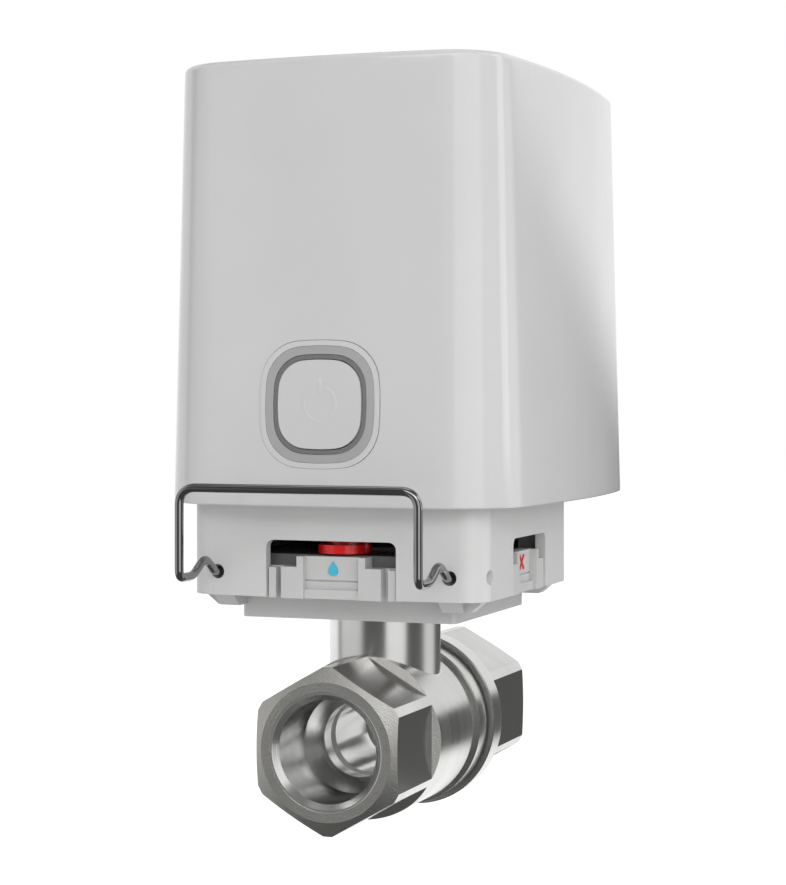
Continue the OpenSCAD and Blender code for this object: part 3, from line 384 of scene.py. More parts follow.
class Effects:
    """Shader node groups that several finishes share, each built once. Noise scales count cells in a metre."""

    CLOUDS, CLOUD_DETAIL, CLOUD_EDGES = 55.0, 3.0, (0.32, 0.68)
    SPECKS, SPECK_DETAIL, SPECK_EDGES, SPECK_SHARE = 900.0, 2.0, (0.56, 0.74), 0.35
    GRAIN_DETAIL, GRAIN_OCTAVE, PIT_EDGES = 2.0, 0.55, (0.36, 0.5)
    MARKS, MARK_DETAIL = 2600.0, 2.0
    STREAKS, STREAK_DETAIL, STREAK_EDGES = 420.0, 1.0, (0.35, 0.65)

    def __init__(self) -> None:
        """Builds all groups."""
        self.tone = self._tone()
        self.grain = self._grain()
        self.turned = self._turned()

    @staticmethod
    def _group(
        name: str, inputs: dict[str, str], outputs: dict[str, str]
    ) -> tuple[bpy.types.NodeTree, NodeMaker, bpy.types.Node, bpy.types.Node]:
        """Makes an empty group with named sockets.

        Args:
            name: Group name.
            inputs: Input names and socket types.
            outputs: Output names and socket types.

        Returns:
            The group, its node maker, its input node and its output node.
        """
        group = bpy.data.node_groups.new(name, "ShaderNodeTree")
        for way, sockets in (("INPUT", inputs), ("OUTPUT", outputs)):
            for key, kind in sockets.items():
                group.interface.new_socket(key, in_out=way, socket_type="NodeSocket" + kind)
        make = NodeMaker(group)
        return group, make, make.add("NodeGroupInput"), make.add("NodeGroupOutput")

    def _tone(self) -> bpy.types.NodeTree:
        """Slow cloudy change of colour and roughness, with a little dust in fine specks.

        Returns:
            The group.
        """
        group, make, given, out = self._group(
            "surface_tone",
            {"Vector": "Vector", "Light": "Color", "Dark": "Color", "Smooth": "Float", "Rough": "Float"},
            {"Color": "Color", "Roughness": "Float"},
        )
        place, smooth = given.outputs["Vector"], given.outputs["Smooth"]
        cloud = make.ramp(make.noise(place, self.CLOUDS, self.CLOUD_DETAIL), self.CLOUD_EDGES)
        fine = make.noise(place, self.SPECKS, self.SPECK_DETAIL)
        dark = make.maths("MAXIMUM", cloud, make.ramp(fine, self.SPECK_EDGES, 0.0, self.SPECK_SHARE))
        make.fill(out, Color=make.blend(dark, given.outputs["Light"], given.outputs["Dark"]))
        span = make.maths("SUBTRACT", given.outputs["Rough"], smooth)
        make.fill(out, Roughness=make.maths("MULTIPLY_ADD", dark, span, smooth))
        return group

    def _grain(self) -> bpy.types.NodeTree:
        """Fine relief: noise of one grain size with a finer octave on it, and the share of its low spots, where
        the nickel gets painted shade.

        Returns:
            The group.
        """
        group, make, given, out = self._group(
            "fine_grain", {"Vector": "Vector", "Scale": "Float"}, {"Height": "Float", "Pits": "Float"}
        )
        place, scale = given.outputs["Vector"], given.outputs["Scale"]
        height = make.noise(place, scale, self.GRAIN_DETAIL, Roughness=self.GRAIN_OCTAVE)
        make.fill(out, Height=height, Pits=make.ramp(height, self.PIT_EDGES, 1.0, 0.0))
        return group

    def _turned(self) -> bpy.types.NodeTree:
        """Lathe marks: bands along the pipe and rings round it, broken by noise.

        Returns:
            The group.
        """
        group, make, given, out = self._group(
            "lathe_marks", {"Vector": "Vector"}, {"Height": "Float", "Streak": "Float"}
        )
        parts = make.add("ShaderNodeSeparateXYZ", Vector=given.outputs["Vector"]).outputs
        around = make.hypot(parts["X"], parts["Z"])
        place = make.add("ShaderNodeCombineXYZ", X=parts["Y"], Y=around).outputs[0]
        broad = make.noise(place, self.STREAKS, self.STREAK_DETAIL)
        make.fill(out, Height=make.noise(place, self.MARKS, self.MARK_DETAIL))
        make.fill(out, Streak=make.ramp(broad, self.STREAK_EDGES))
        return group


@dataclass(frozen=True)
class Finish:
    """A plain moulded, cast or drawn finish: two close tones, two roughness values and a grain."""

    name: str
    light: Rgb
    dark: Rgb
    smooth: float
    rough: float
    grain: Grain = Grain.SMOOTH
    relief: float = 0.1
    metal: float = 0.0
    coat: float = 0.0
    coat_rough: float = 0.06

    def build(self, effects: Effects) -> bpy.types.Material:
        """Makes the material from the shared groups.

        Args:
            effects: The shared shader groups.

        Returns:
            The material.
        """
        material, make = new_material(self.name)
        place = make.add("ShaderNodeTexCoord").outputs["Object"]
        tones = {"Light": rgba(self.light), "Dark": rgba(self.dark), "Smooth": self.smooth, "Rough": self.rough}
        tone = make.add("ShaderNodeGroup", node_tree=effects.tone, Vector=place, **tones).outputs
        size = self.grain.value * MM
        grain = make.add("ShaderNodeGroup", node_tree=effects.grain, Vector=place, Scale=1.0 / size).outputs
        bump = make.add("ShaderNodeBump", Height=grain["Height"], Strength=self.relief, Distance=size)
        shader = make.tree.nodes[MAIN_SHADER]
        make.fill(shader, Base_Color=tone["Color"], Roughness=tone["Roughness"], Normal=bump.outputs[0])
        make.fill(shader, Metallic=self.metal, Coat_Weight=self.coat, Coat_Roughness=self.coat_rough)
        return material


@dataclass(frozen=True)
class NickelFinish:
    """Plated valve metal: grained end faces, a satin neck, turned barrel and bores, and milled flats.

    Fields in _soft are widths of soft mask edges, and fields in _rough are added to the roughness.
    """

    name: str = "satin_nickel"
    grained: Rgb = (0.54, 0.535, 0.51)
    turned: Rgb = (0.66, 0.657, 0.645)
    milled: Rgb = (0.56, 0.556, 0.545)
    # Bore tint is lighter than the turned metal: painted light inside the bore
    bore_lit: Rgb = (0.82, 0.82, 0.81)
    necked: Rgb = (0.74, 0.737, 0.72)
    shade: float = 0.86
    smooth: float = 0.15
    rough: float = 0.19
    grained_rough: float = 0.2
    necked_rough: float = 0.04
    bored_rough: float = -0.03
    turned_rough: float = 0.08
    streak_rough: float = -0.05
    lathe_relief: float = 0.12
    lathe_depth: float = 0.08
    grain_relief: float = 0.55
    grain_depth: float = 0.2
    flat_at: float = 13.5
    flat_soft: float = 0.15
    bore_r: float = 10.6
    bore_soft: float = 0.15
    stem_y: float = 29.0
    neck_r: Pair = (10.6, 10.8)
    neck_z: Pair = (10.0, 10.5)
    neck_grain: float = 0.03
    end_edges: Pair = (0.8, 0.95)

    def masks(self, make: NodeMaker, place: Socket, facing: Socket) -> tuple[Socket, ...]:
        """Share of each kind of surface, from the place on the pipe and the direction of the surface.

        The reach of a surface is the distance of its tangent plane from the pipe axis, X nx + Z nz: it is the
        same all over a wrench flat, and equals the radius on turned surfaces.

        Args:
            make: Node maker of the material.
            place: Place in the part's frame.
            facing: Direction of the surface.

        Returns:
            Shares of grained, milled, bore, necked and turned surface.
        """
        at = make.add("ShaderNodeSeparateXYZ", Vector=place).outputs
        way = make.add("ShaderNodeSeparateXYZ", Vector=facing).outputs
        reach = make.maths("ADD", *[make.maths("MULTIPLY", at[k], way[k]) for k in ("X", "Z")])
        soft = self.flat_soft
        over = make.ramp(reach, mm(self.flat_at - 2 * soft, self.flat_at - soft))
        under = make.ramp(reach, mm(self.flat_at + soft, self.flat_at + 2 * soft), 1.0, 0.0)
        bore = make.ramp(make.hypot(at["X"], at["Z"]), mm(self.bore_r, self.bore_r + self.bore_soft), 1.0, 0.0)
        depth = make.maths("SUBTRACT", at["Y"], self.stem_y * MM)
        near = make.ramp(make.hypot(at["X"], depth), mm(*self.neck_r), 1.0, 0.0)
        neck = make.maths("MULTIPLY", make.ramp(at["Z"], mm(*self.neck_z)), near)
        off_neck = make.maths("SUBTRACT", 1.0, neck)
        flats = make.chain("MULTIPLY", over, under, off_neck)
        endways = make.ramp(make.maths("ABSOLUTE", way["Y"]), self.end_edges)
        end_face = make.maths("MULTIPLY", endways, off_neck)
        rubbed = make.maths("MAXIMUM", end_face, make.maths("MULTIPLY", neck, self.neck_grain))
        grained = make.maths("MULTIPLY", rubbed, make.maths("SUBTRACT", 1.0, bore))
        turned = make.maths("SUBTRACT", 1.0, make.chain("MAXIMUM", grained, flats, neck))
        return grained, flats, bore, neck, turned

    def build(self, effects: Effects) -> bpy.types.Material:
        """Makes the material: each kind of surface has its own colour, roughness and relief, with painted light
        in the bore and painted shade in the grain's pits.

        Args:
            effects: The shared shader groups.

        Returns:
            The material.
        """
        material, make = new_material(self.name)
        coords = make.add("ShaderNodeTexCoord").outputs
        place = coords["Object"]
        grained, flats, bore, neck, turned = self.masks(make, place, coords["Normal"])
        colour = rgba(self.turned)
        tints = ((grained, self.grained), (flats, self.milled), (bore, self.bore_lit), (neck, self.necked))
        for share, tint in tints:
            colour = make.blend(share, colour, rgba(tint))
        deep = make.blend(1.0, colour, rgba(grey(self.shade)), "MULTIPLY")
        cells = 1.0 / (Grain.BLAST.value * MM)
        grain = make.add("ShaderNodeGroup", node_tree=effects.grain, Vector=place, Scale=cells).outputs
        lathe = make.add("ShaderNodeGroup", node_tree=effects.turned, Vector=place).outputs
        tones = {"Light": colour, "Dark": deep, "Smooth": self.smooth, "Rough": self.rough}
        tone = make.add("ShaderNodeGroup", node_tree=effects.tone, Vector=place, **tones).outputs
        rough = tone["Roughness"]
        for share, change in (
            (grained, self.grained_rough),
            (neck, self.necked_rough),
            (bore, self.bored_rough),
            (turned, self.turned_rough),
            (make.maths("MULTIPLY", lathe["Streak"], turned), self.streak_rough),
        ):
            rough = make.maths("MULTIPLY_ADD", share, change, rough)
        fine = make.add(
            "ShaderNodeBump",
            Height=make.maths("MULTIPLY", lathe["Height"], turned),
            Strength=self.lathe_relief,
            Distance=self.lathe_depth * MM,
        )
        pits = make.add(
            "ShaderNodeBump",
            Height=make.maths("MULTIPLY", grain["Height"], grained),
            Strength=self.grain_relief,
            Distance=self.grain_depth * MM,
            Normal=fine.outputs[0],
        )
        # Painted shade: the grain's low spots are tinted to the darker tone
        pit_shade = make.maths("MULTIPLY", grain["Pits"], grained)
        shader = make.tree.nodes[MAIN_SHADER]
        make.fill(shader, Base_Color=make.blend(pit_shade, tone["Color"], deep), Roughness=rough)
        make.fill(shader, Normal=pits.outputs[0], Metallic=1.0)
        return material


# Finishes by slot: name, light and dark tone, low and high roughness, grain and relief
FINISHES: dict[str, Finish] = {
    "white_gloss": Finish("gloss_white", grey(0.62), grey(0.605), 0.10, 0.15, Grain.PEEL, 0.012, coat=0.2),
    "white_satin": Finish(
        "satin_white", (0.64, 0.64, 0.637), (0.615, 0.615, 0.612), 0.34, 0.42, Grain.SPARK, 0.08
    ),
    # Valve base: darker than the white satin, partly a greyer plastic, partly painted shade for its parts in
    # the window recess
    "base_satin_shaded": Finish(
        "satin_base_shaded", (0.58, 0.58, 0.577), (0.56, 0.56, 0.557), 0.34, 0.42, Grain.SPARK, 0.08
    ),
    "light_grey": Finish("light_ring_grey", grey(0.40), grey(0.37), 0.30, 0.38, Grain.SPARK, 0.05),
    # Dark ring round the button: its dark grey also stands for the shade in the gap there, as painted shade
    "seal_grey": Finish("seal_grey", grey(0.20), grey(0.175), 0.5, 0.6, Grain.SPARK, 0.12),
    # Dark grey blocks inside the windows: their dark also stands for the shade of the openings there, as
    # painted shade
    "liner_grey": Finish(
        "liner_grey", (0.15, 0.15, 0.155), (0.12, 0.12, 0.125), 0.45, 0.55, Grain.SPARK, 0.12
    ),
    # Black plastic; inside the windows it also darkens the gear cavity as painted shade
    "black_plastic": Finish(
        "black_plastic", (0.045, 0.045, 0.047), (0.035, 0.035, 0.037), 0.4, 0.5, Grain.SPARK, 0.1
    ),
    "chip": Finish("chip_black", (0.06, 0.06, 0.065), (0.045, 0.045, 0.05), 0.4, 0.5, Grain.SPARK, 0.1),
    "rubber": Finish(
        "black_rubber", (0.055, 0.055, 0.058), (0.04, 0.04, 0.042), 0.6, 0.75, Grain.SPARK, 0.15
    ),
    "ptfe": Finish("white_ptfe", (0.86, 0.86, 0.84), (0.80, 0.80, 0.78), 0.35, 0.45, Grain.SMOOTH, 0.03),
    "red": Finish(
        "pointer_red", (0.80, 0.010, 0.012), (0.68, 0.008, 0.010), 0.16, 0.24, Grain.PEEL, 0.02, coat=0.2
    ),
    "red_mark": Finish("mark_red", (0.70, 0.026, 0.026), (0.60, 0.024, 0.024), 0.4, 0.5, Grain.SPARK, 0.05),
    "blue_mark": Finish("mark_blue", (0.075, 0.50, 0.69), (0.065, 0.44, 0.62), 0.4, 0.5, Grain.SPARK, 0.05),
    "gear_ivory": Finish("gear_ivory", (0.78, 0.73, 0.62), (0.72, 0.67, 0.56), 0.35, 0.45, Grain.SPARK, 0.05),
    "board_green": Finish(
        "board_green", (0.02, 0.17, 0.07), (0.015, 0.12, 0.05), 0.25, 0.35, Grain.PEEL, 0.05
    ),
    "lamp": Finish("lamp_lens", (0.75, 0.88, 0.75), (0.70, 0.83, 0.70), 0.1, 0.18, Grain.SMOOTH, 0.02),
    "cell": Finish("cell_sleeve", (0.06, 0.16, 0.45), (0.05, 0.13, 0.38), 0.2, 0.3, Grain.PEEL, 0.02),
    "steel": Finish("plain_steel", grey(0.60), grey(0.50), 0.25, 0.35, Grain.DRAWN, 0.05, metal=1.0),
    "spring_steel": Finish("wire_steel", grey(0.32), grey(0.28), 0.05, 0.09, Grain.DRAWN, 0.01, metal=1.0),
    "polished": Finish(
        "polished_ball", (0.76, 0.76, 0.75), (0.70, 0.70, 0.69), 0.05, 0.1, Grain.SMOOTH, 0.01, metal=1.0
    ),
    "brass": Finish(
        "turned_brass", (0.70, 0.50, 0.22), (0.60, 0.42, 0.17), 0.22, 0.32, Grain.DRAWN, 0.04, metal=1.0
    ),
}

# Nodes with a darker tone of their own within their slot: partly a greyer plastic, partly painted shade
OWN_FINISH: dict[str, str] = {"valve_base": "base_satin_shaded"}


@dataclass
class Palette:
    """All materials of the part, by the record's slot names."""

    effects: Effects = field(default_factory=Effects)
    made: dict[str, bpy.types.Material] = field(init=False)

    def __post_init__(self) -> None:
        """Builds every finish once."""
        self.made = {slot: finish.build(self.effects) for slot, finish in FINISHES.items()}
        self.made["nickel"] = NickelFinish().build(self.effects)

    def dress(self, piece: bpy.types.Object, slot: str) -> None:
        """Puts one finish on every material slot of a piece.

        Args:
            piece: The piece to dress.
            slot: Slot name of the finish.
        """
        material = self.made[slot]
        if not piece.material_slots:
            piece.data.materials.append(material)
        for holder in piece.material_slots:
            holder.material = material


# Sub-assemblies


@dataclass
class Cover:
    """The tall gloss shell with its button opening.

    The wall is a section carried round a plan; round the button, a patch goes from a square window to the hole.
    """

    plan: Plan = Plan(35.9, 46.0, 242.0, 207.0, 13.8)
    plan_steps: Steps = (24, 22, 26)
    mid_y: float = 41.8
    foot_z: float = 43.7
    height: float = 80.0
    draft: float = 0.0245
    wall: float = 2.2
    foot_round: float = 0.35
    foot_steps: int = 7
    top_round: float = 1.2
    top_steps: int = 10
    top_rims: Pair = (1.5, 4.0)
    ceiling_rim: float = 3.0
    ceiling_gap: float = 1.0
    level_count: int = 46
    button_z: float = 61.8
    hole: Plan = Plan(11.39, 11.39, 50.49, 50.49, 7.48)
    hole_steps: Steps = (10, 16, 10)
    hole_round: float = 0.12
    lip_steps: int = 6
    window: float = 15.0
    front_share: float = 0.8
    patch_rows: int = 9
    patch_power: float = 0.8
    sharp: float = 30.0

    def inset(self, z: np.ndarray) -> np.ndarray:
        """Inset of the drafted wall at a height."""
        return (z - self.foot_z) * self.draft

    def levels(self) -> np.ndarray:
        """Heights of the rows that both faces of the wall share."""
        top = self.foot_z + self.height - self.wall - self.ceiling_gap
        return np.linspace(self.foot_z + self.foot_round, top, self.level_count)[1:]

    def outer_section(self) -> np.ndarray:
        """Outer section: foot edge, drafted wall, rounded top edge and the flat top's rim.

        Returns:
            Inset and height of each row.
        """
        r, top = self.foot_round, self.foot_z + self.height
        foot = arc(90, 0, self.foot_steps)
        foot_z = self.foot_z + r * (1 - np.sin(foot))
        low = np.stack([r * (1 - np.cos(foot)) + self.inset(foot_z), foot_z], -1)
        wall = np.stack([self.inset(self.levels()), self.levels()], -1)
        turn = arc(0, 90, self.top_steps)
        edge_z = top - self.top_round * (1 - np.sin(turn))
        edge = np.stack([self.inset(top - self.top_round) + self.top_round * (1 - np.cos(turn)), edge_z], -1)
        rim = edge[-1] + np.array([[step, 0.0] for step in self.top_rims])
        return np.concatenate([[[self.wall, self.foot_z]], low, wall, edge, rim])

    def inner_section(self) -> np.ndarray:
        """Inner section from the foot to the ceiling, parallel to the outer wall.

        Returns:
            Inset and height of each row.
        """
        top = self.foot_z + self.height - self.wall
        wall = np.stack([self.inset(self.levels()) + self.wall, self.levels()], -1)
        edge = self.inset(top) + self.wall
        corner = np.array([[edge, top], [edge + self.ceiling_rim, top]])
        return np.concatenate([[[self.wall, self.foot_z]], wall, corner])

    def rings(self, section: np.ndarray) -> np.ndarray:
        """Points of a section carried round the plan: arc centre + (radius - inset) times direction.

        Args:
            section: Inset and height of each row.

        Returns:
            Points by row and column.
        """
        centre, radius, way = self.plan.rays(*self.plan_steps)
        flat = centre[None] + (radius[None] - section[:, :1])[..., None] * way[None]
        flat[..., 1] += self.mid_y
        height = np.broadcast_to(section[:, 1][:, None, None], flat.shape[:2] + (1,))
        return np.concatenate([flat, height], -1)

    def front_y(self, x: np.ndarray, z: np.ndarray, extra: float) -> np.ndarray:
        """Depth of the bowed front at a place: the front arc's circle, inset by draft and an extra depth."""
        r = self.plan.front_bow - self.inset(z) - extra
        return self.mid_y - (self.plan.half_d - self.plan.front_bow) - np.sqrt(r * r - x * x)

    def hole_reach(self, turn: np.ndarray) -> np.ndarray:
        """Distance from the button's centre to the hole's outline, read off between the outline's points.

        Args:
            turn: Directions in radians.

        Returns:
            The distance in each direction.
        """
        centre, radius, way = self.hole.rays(*self.hole_steps)
        outline = centre + radius[:, None] * way
        angle = np.unwrap(np.arctan2(outline[:, 1], outline[:, 0]))
        span = np.hypot(outline[:, 0], outline[:, 1])
        lap = np.mod(turn - angle[0], 2 * np.pi) + angle[0]
        return np.interp(lap, np.append(angle, angle[0] + 2 * np.pi), np.append(span, span[0]))

    def window_span(self, rings: np.ndarray, first: int) -> Span:
        """Rows and columns of the wall's square window round the button.

        Args:
            rings: Section points by row and column.
            first: Row of the first shared level.

        Returns:
            First and last level, counted from the first shared one, and first and last column.
        """
        held = np.where(np.abs(self.levels() - self.button_z) < self.window)[0]
        row = rings[first + held[0]]
        front = row[:, 1] < self.mid_y - self.front_share * self.plan.half_d
        columns = np.where(front & (np.abs(row[:, 0]) < self.window))[0]
        return int(held[0]), int(held[-1]), int(columns[0]), int(columns[-1])

    def patch(self, loop: np.ndarray, turn: np.ndarray, extra: float) -> np.ndarray:
        """Rows of points from the window's edge in to the hole's outline along straight rays.

        Args:
            loop: Points round the window.
            turn: Direction of each hole point from the button's centre.
            extra: Depth of this surface behind the outer face; the outer face also gets a rounded lip.

        Returns:
            Points by row, the hole's outline last.
        """
        lip = self.hole_round if extra == 0 else 0.0
        reach, aim = self.hole_reach(turn), np.stack([np.cos(turn), np.sin(turn)], -1)
        share = np.linspace(0, 1, self.patch_rows)[:, None, None] ** self.patch_power
        start = loop[None][..., [0, 2]] - np.array([0.0, self.button_z])
        flat = (1 - share) * start + share * ((reach + lip)[:, None] * aim)[None]
        bend = arc(0, 90, self.lip_steps)[1:] if lip else np.zeros(0)
        curl = (reach[None] + lip * (1 - np.sin(bend))[:, None])[..., None] * aim[None]
        flat = np.concatenate([flat, curl])
        drop = np.concatenate([np.zeros(self.patch_rows), lip * (1 - np.cos(bend))])[:, None]
        x, z = flat[..., 0], flat[..., 1] + self.button_z
        rows = np.stack([x, self.front_y(x, z, extra) + drop, z], -1)
        rows[0] = loop
        return rows

    def skin(
        self, rings: np.ndarray, first: int, span: Span, turn: np.ndarray, extra: float
    ) -> tuple[np.ndarray, np.ndarray, np.ndarray]:
        """Shell surface with a closed end, whose window is filled by the patch round the hole.

        Args:
            rings: Section points by row and column.
            first: Row of the first shared level.
            span: The window's levels and columns.
            turn: Direction of each hole point from the button's centre.
            extra: Depth of this surface behind the outer face.

        Returns:
            Points, faces, and the hole's outline points on this surface.
        """
        rows, cols = rings.shape[:2]
        last = np.arange(cols) + (rows - 1) * cols
        tip = np.full(cols, rows * cols)
        points = np.concatenate([rings.reshape(-1, 3), [[0.0, self.mid_y, rings[-1, 0, 2]]]])
        end = np.stack([last, np.roll(last, -1), tip, tip], -1)
        faces = np.concatenate([grid_faces(rows, cols, True), end])
        r0, r1, c0, c1 = first + span[0], first + span[1], span[2], span[3]
        inside = np.zeros((rows, cols), bool)
        inside[r0:r1, c0:c1] = True
        keep = np.concatenate([~inside[:-1].reshape(-1), np.ones(cols, bool)])
        patch = self.patch(window_loop(rings, r0, r1, c0, c1), turn, extra)
        frame = (patch.reshape(-1, 3), grid_faces(*patch.shape[:2], True))
        return *joined([(points, faces[keep]), frame]), patch[-1]

    def build(self, palette: Palette) -> bpy.types.Object:
        """Builds outer and inner skins and the hole's wall between them as one closed shell, and dresses it.

        Args:
            palette: The part's materials.

        Returns:
            The cover.
        """
        outer, inner = self.rings(self.outer_section()), self.rings(self.inner_section())
        first = self.foot_steps + 1
        span = self.window_span(outer, first)
        loop = window_loop(outer, first + span[0], first + span[1], span[2], span[3])
        turn = np.arctan2(loop[:, 2] - self.button_z, loop[:, 0])
        *shell, rim_a = self.skin(outer, first, span, turn, 0.0)
        *lining, rim_b = self.skin(inner, 1, span, turn, self.wall)
        tube = (np.stack([rim_a, rim_b]).reshape(-1, 3), grid_faces(2, len(turn), True))
        piece = new_piece("cover_shell", *joined([tuple(shell), tube, tuple(lining)]), self.sharp)
        palette.dress(piece, "white_gloss")
        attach(piece, Body.HOUSING.value)
        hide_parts("cover")
        return piece


@dataclass
class WireClip:
    """The bent wire that locks the actuator on the base.

    The trims are taken off on either side of each corner, from the leg's mouth to the handle.
    """

    radius: float = 0.8
    leg_x: float = 22.3
    leg_z: float = 31.35
    end_y: float = 51.0
    mouth_y: float = 0.9
    peak_y: float = -3.7
    foot_y: float = -8.4
    handle_y: float = -14.0
    hump: float = 2.9
    rise: float = 15.9
    trims: tuple[float, ...] = (1.3, 1.9, 1.6, 1.6, 3.2)
    sides: int = 28
    steps: int = 14
    dome_steps: int = 6
    nearly: float = 1e-6
    sharp: float = 60.0

    def route(self) -> np.ndarray:
        """Corner points of the wire: the points of one leg, and their mirror image.

        Returns:
            Points from the end of the left leg to the end of the right leg.
        """
        leg = np.array([
            [self.end_y, 0.0], [self.mouth_y, 0.0], [self.peak_y, self.hump], [self.foot_y, 0.0],
            [self.handle_y, 0.0], [self.handle_y, self.rise],
        ])
        left = np.column_stack([np.full(len(leg), -self.leg_x), leg[:, 0], self.leg_z + leg[:, 1]])
        right = left[::-1] * np.array([-1.0, 1.0, 1.0])
        return np.concatenate([left, right])

    def path(self) -> np.ndarray:
        """Smooth path: each corner p becomes a parabola between two trimmed points a and b.

        The parabola is (1-t)^2 a + 2t(1-t) p + t^2 b.

        Returns:
            Points along the wire.
        """
        route = self.route()
        trim = np.array(self.trims + self.trims[::-1])[:, None]
        here, back, ahead = route[1:-1], route[:-2], route[2:]
        a, b = here + trim * unit(back - here), here + trim * unit(ahead - here)
        t = np.linspace(0, 1, self.steps)[None, :, None]
        bends = (1 - t) ** 2 * a[:, None] + 2 * t * (1 - t) * here[:, None] + t ** 2 * b[:, None]
        return np.concatenate([route[:1], bends.reshape(-1, 3), route[-1:]])

    def build(self, palette: Palette) -> bpy.types.Object:
        """Carries a circle along the path, with rounded ends, and replaces the faceted solid.

        Args:
            palette: The part's materials.

        Returns:
            The clip.
        """
        path = self.path()
        ahead = unit(np.gradient(path, axis=0))
        side = np.cross(np.array([0.0, 1.0, 0.0]), ahead)
        on_leg = np.abs(np.abs(path[:, 0]) - self.leg_x) < self.nearly
        side[on_leg] = np.where(path[on_leg, :1] < 0, 1.0, -1.0) * np.array([1.0, 0.0, 0.0])
        side = unit(side)
        across = np.cross(ahead, side)
        dome = arc(0, 90, self.dome_steps + 1)[1:]
        ends = len(dome)
        grow = np.concatenate([np.cos(dome[::-1]), np.ones(len(path)), np.cos(dome)])
        slide = np.concatenate([-np.sin(dome[::-1]), np.zeros(len(path)), np.sin(dome)]) * self.radius
        pick = np.concatenate([np.zeros(ends, int), np.arange(len(path)), np.full(ends, len(path) - 1)])
        turn = np.linspace(0, 2 * np.pi, self.sides, endpoint=False)[None, :, None]
        centre = path[pick] + slide[:, None] * ahead[pick]
        circle = np.cos(turn) * side[pick][:, None] + np.sin(turn) * across[pick][:, None]
        points = centre[:, None] + self.radius * grow[:, None, None] * circle
        faces = grid_faces(len(pick), self.sides, True)
        piece = new_piece("clip_wire", points.reshape(-1, 3), faces, self.sharp)
        palette.dress(piece, "spring_steel")
        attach(piece, Body.CLIP.value)
        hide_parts("wire_clip")
        return piece


@dataclass
class PowerMark:
    """The raised power sign on the button: an open ring and an upright bar."""

    centre_z: float = 61.8
    face_y: float = -3.757
    tilt: float = 0.0245
    ring_r: float = 3.0
    stroke: float = 0.7
    height: float = 0.05
    opening: float = 16.0
    bar_low: float = 2.0
    bar_high: float = 4.5
    ring_steps: int = 90
    bar_steps: int = 24
    sides: int = 16
    sharp: float = 60.0

    def on_face(self, x: np.ndarray, up: np.ndarray, out: np.ndarray) -> np.ndarray:
        """Places local points on the leaning button face: outward is -Y with a little Z.

        Args:
            x: Places across the face.
            up: Places up the face.
            out: Heights above the face.

        Returns:
            The points.
        """
        lean = math.atan(self.tilt)
        y = self.face_y + up * math.sin(lean) - out * math.cos(lean)
        z = self.centre_z + up * math.cos(lean) + out * math.sin(lean)
        return np.stack([x, y, z], -1)

    def bead(self, path: np.ndarray) -> Mesh:
        """A low half-round bead along a flat path, narrowed to round ends.

        Args:
            path: Points across and up on the face.

        Returns:
            Points and faces.
        """
        half = self.stroke / 2
        ahead = unit(np.gradient(path, axis=0))
        across = np.stack([-ahead[:, 1], ahead[:, 0]], -1)
        run = np.concatenate([[0.0], np.cumsum(np.linalg.norm(np.diff(path, axis=0), axis=1))])
        near = np.clip(np.minimum(run, run[-1] - run) / half, 0.0, 1.0)
        width = np.sqrt(np.clip(1 - (1 - near) ** 2, 0.0, 1.0)) * half
        turn = arc(0, 360, self.sides + 1)[:-1]
        flat = path[:, None] + (width[:, None] * np.cos(turn)[None])[..., None] * across[:, None]
        out = (width / half)[:, None] * np.sin(turn)[None] * self.height
        points = self.on_face(flat[..., 0], flat[..., 1], out).reshape(-1, 3)
        return points, grid_faces(len(path), self.sides, True)

    def build(self, palette: Palette) -> bpy.types.Object:
        """Builds the ring and the bar as beads that ride on the button.

        Args:
            palette: The part's materials.

        Returns:
            The mark.
        """
        turn = arc(90 + self.opening, 450 - self.opening, self.ring_steps)
        ring = self.ring_r * np.stack([np.cos(turn), np.sin(turn)], -1)
        up = np.linspace(self.bar_low, self.bar_high, self.bar_steps)
        bar = np.stack([np.zeros_like(up), up], -1)
        piece = new_piece("power_sign", *joined([self.bead(ring), self.bead(bar)]), self.sharp)
        palette.dress(piece, "white_gloss")
        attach(piece, Body.BUTTON.value)
        return piece


@dataclass(frozen=True)
class Wall:
    """A part of the mirrored room: the direction of its middle, the cosines at its edge and core, its level."""

    middle: Vec
    edges: Pair
    level: float

    def build(self, make: NodeMaker, ray: Socket) -> Socket:
        """Smooth step of the cosine of the angle between a ray and the wall's middle."""
        cosine = make.feed("ShaderNodeVectorMath", (ray, self.middle), operation="DOT_PRODUCT")
        return make.ramp(cosine.outputs["Value"], self.edges, 0.0, self.level)


@dataclass(frozen=True)
class Lamp:
    """A soft area lamp; place and size are in metres, and the power is in watts."""

    name: str
    at: Vec
    size: Pair
    power: float

    def build(self, aim: Vec) -> None:
        """Adds the lamp, facing a place.

        Args:
            aim: Place that the lamp faces.
        """
        data = bpy.data.lights.new(self.name, "AREA")
        data.shape = "RECTANGLE"
        data.size, data.size_y = self.size
        data.energy = self.power
        item = bpy.data.objects.new(self.name, data)
        item.location = self.at
        way = np.array(aim) - np.array(self.at)
        level = math.hypot(way[0], way[1])
        item.rotation_euler = (math.pi / 2 + math.atan2(way[2], level), 0.0, math.atan2(-way[0], way[1]))
        bpy.context.scene.collection.objects.link(item)


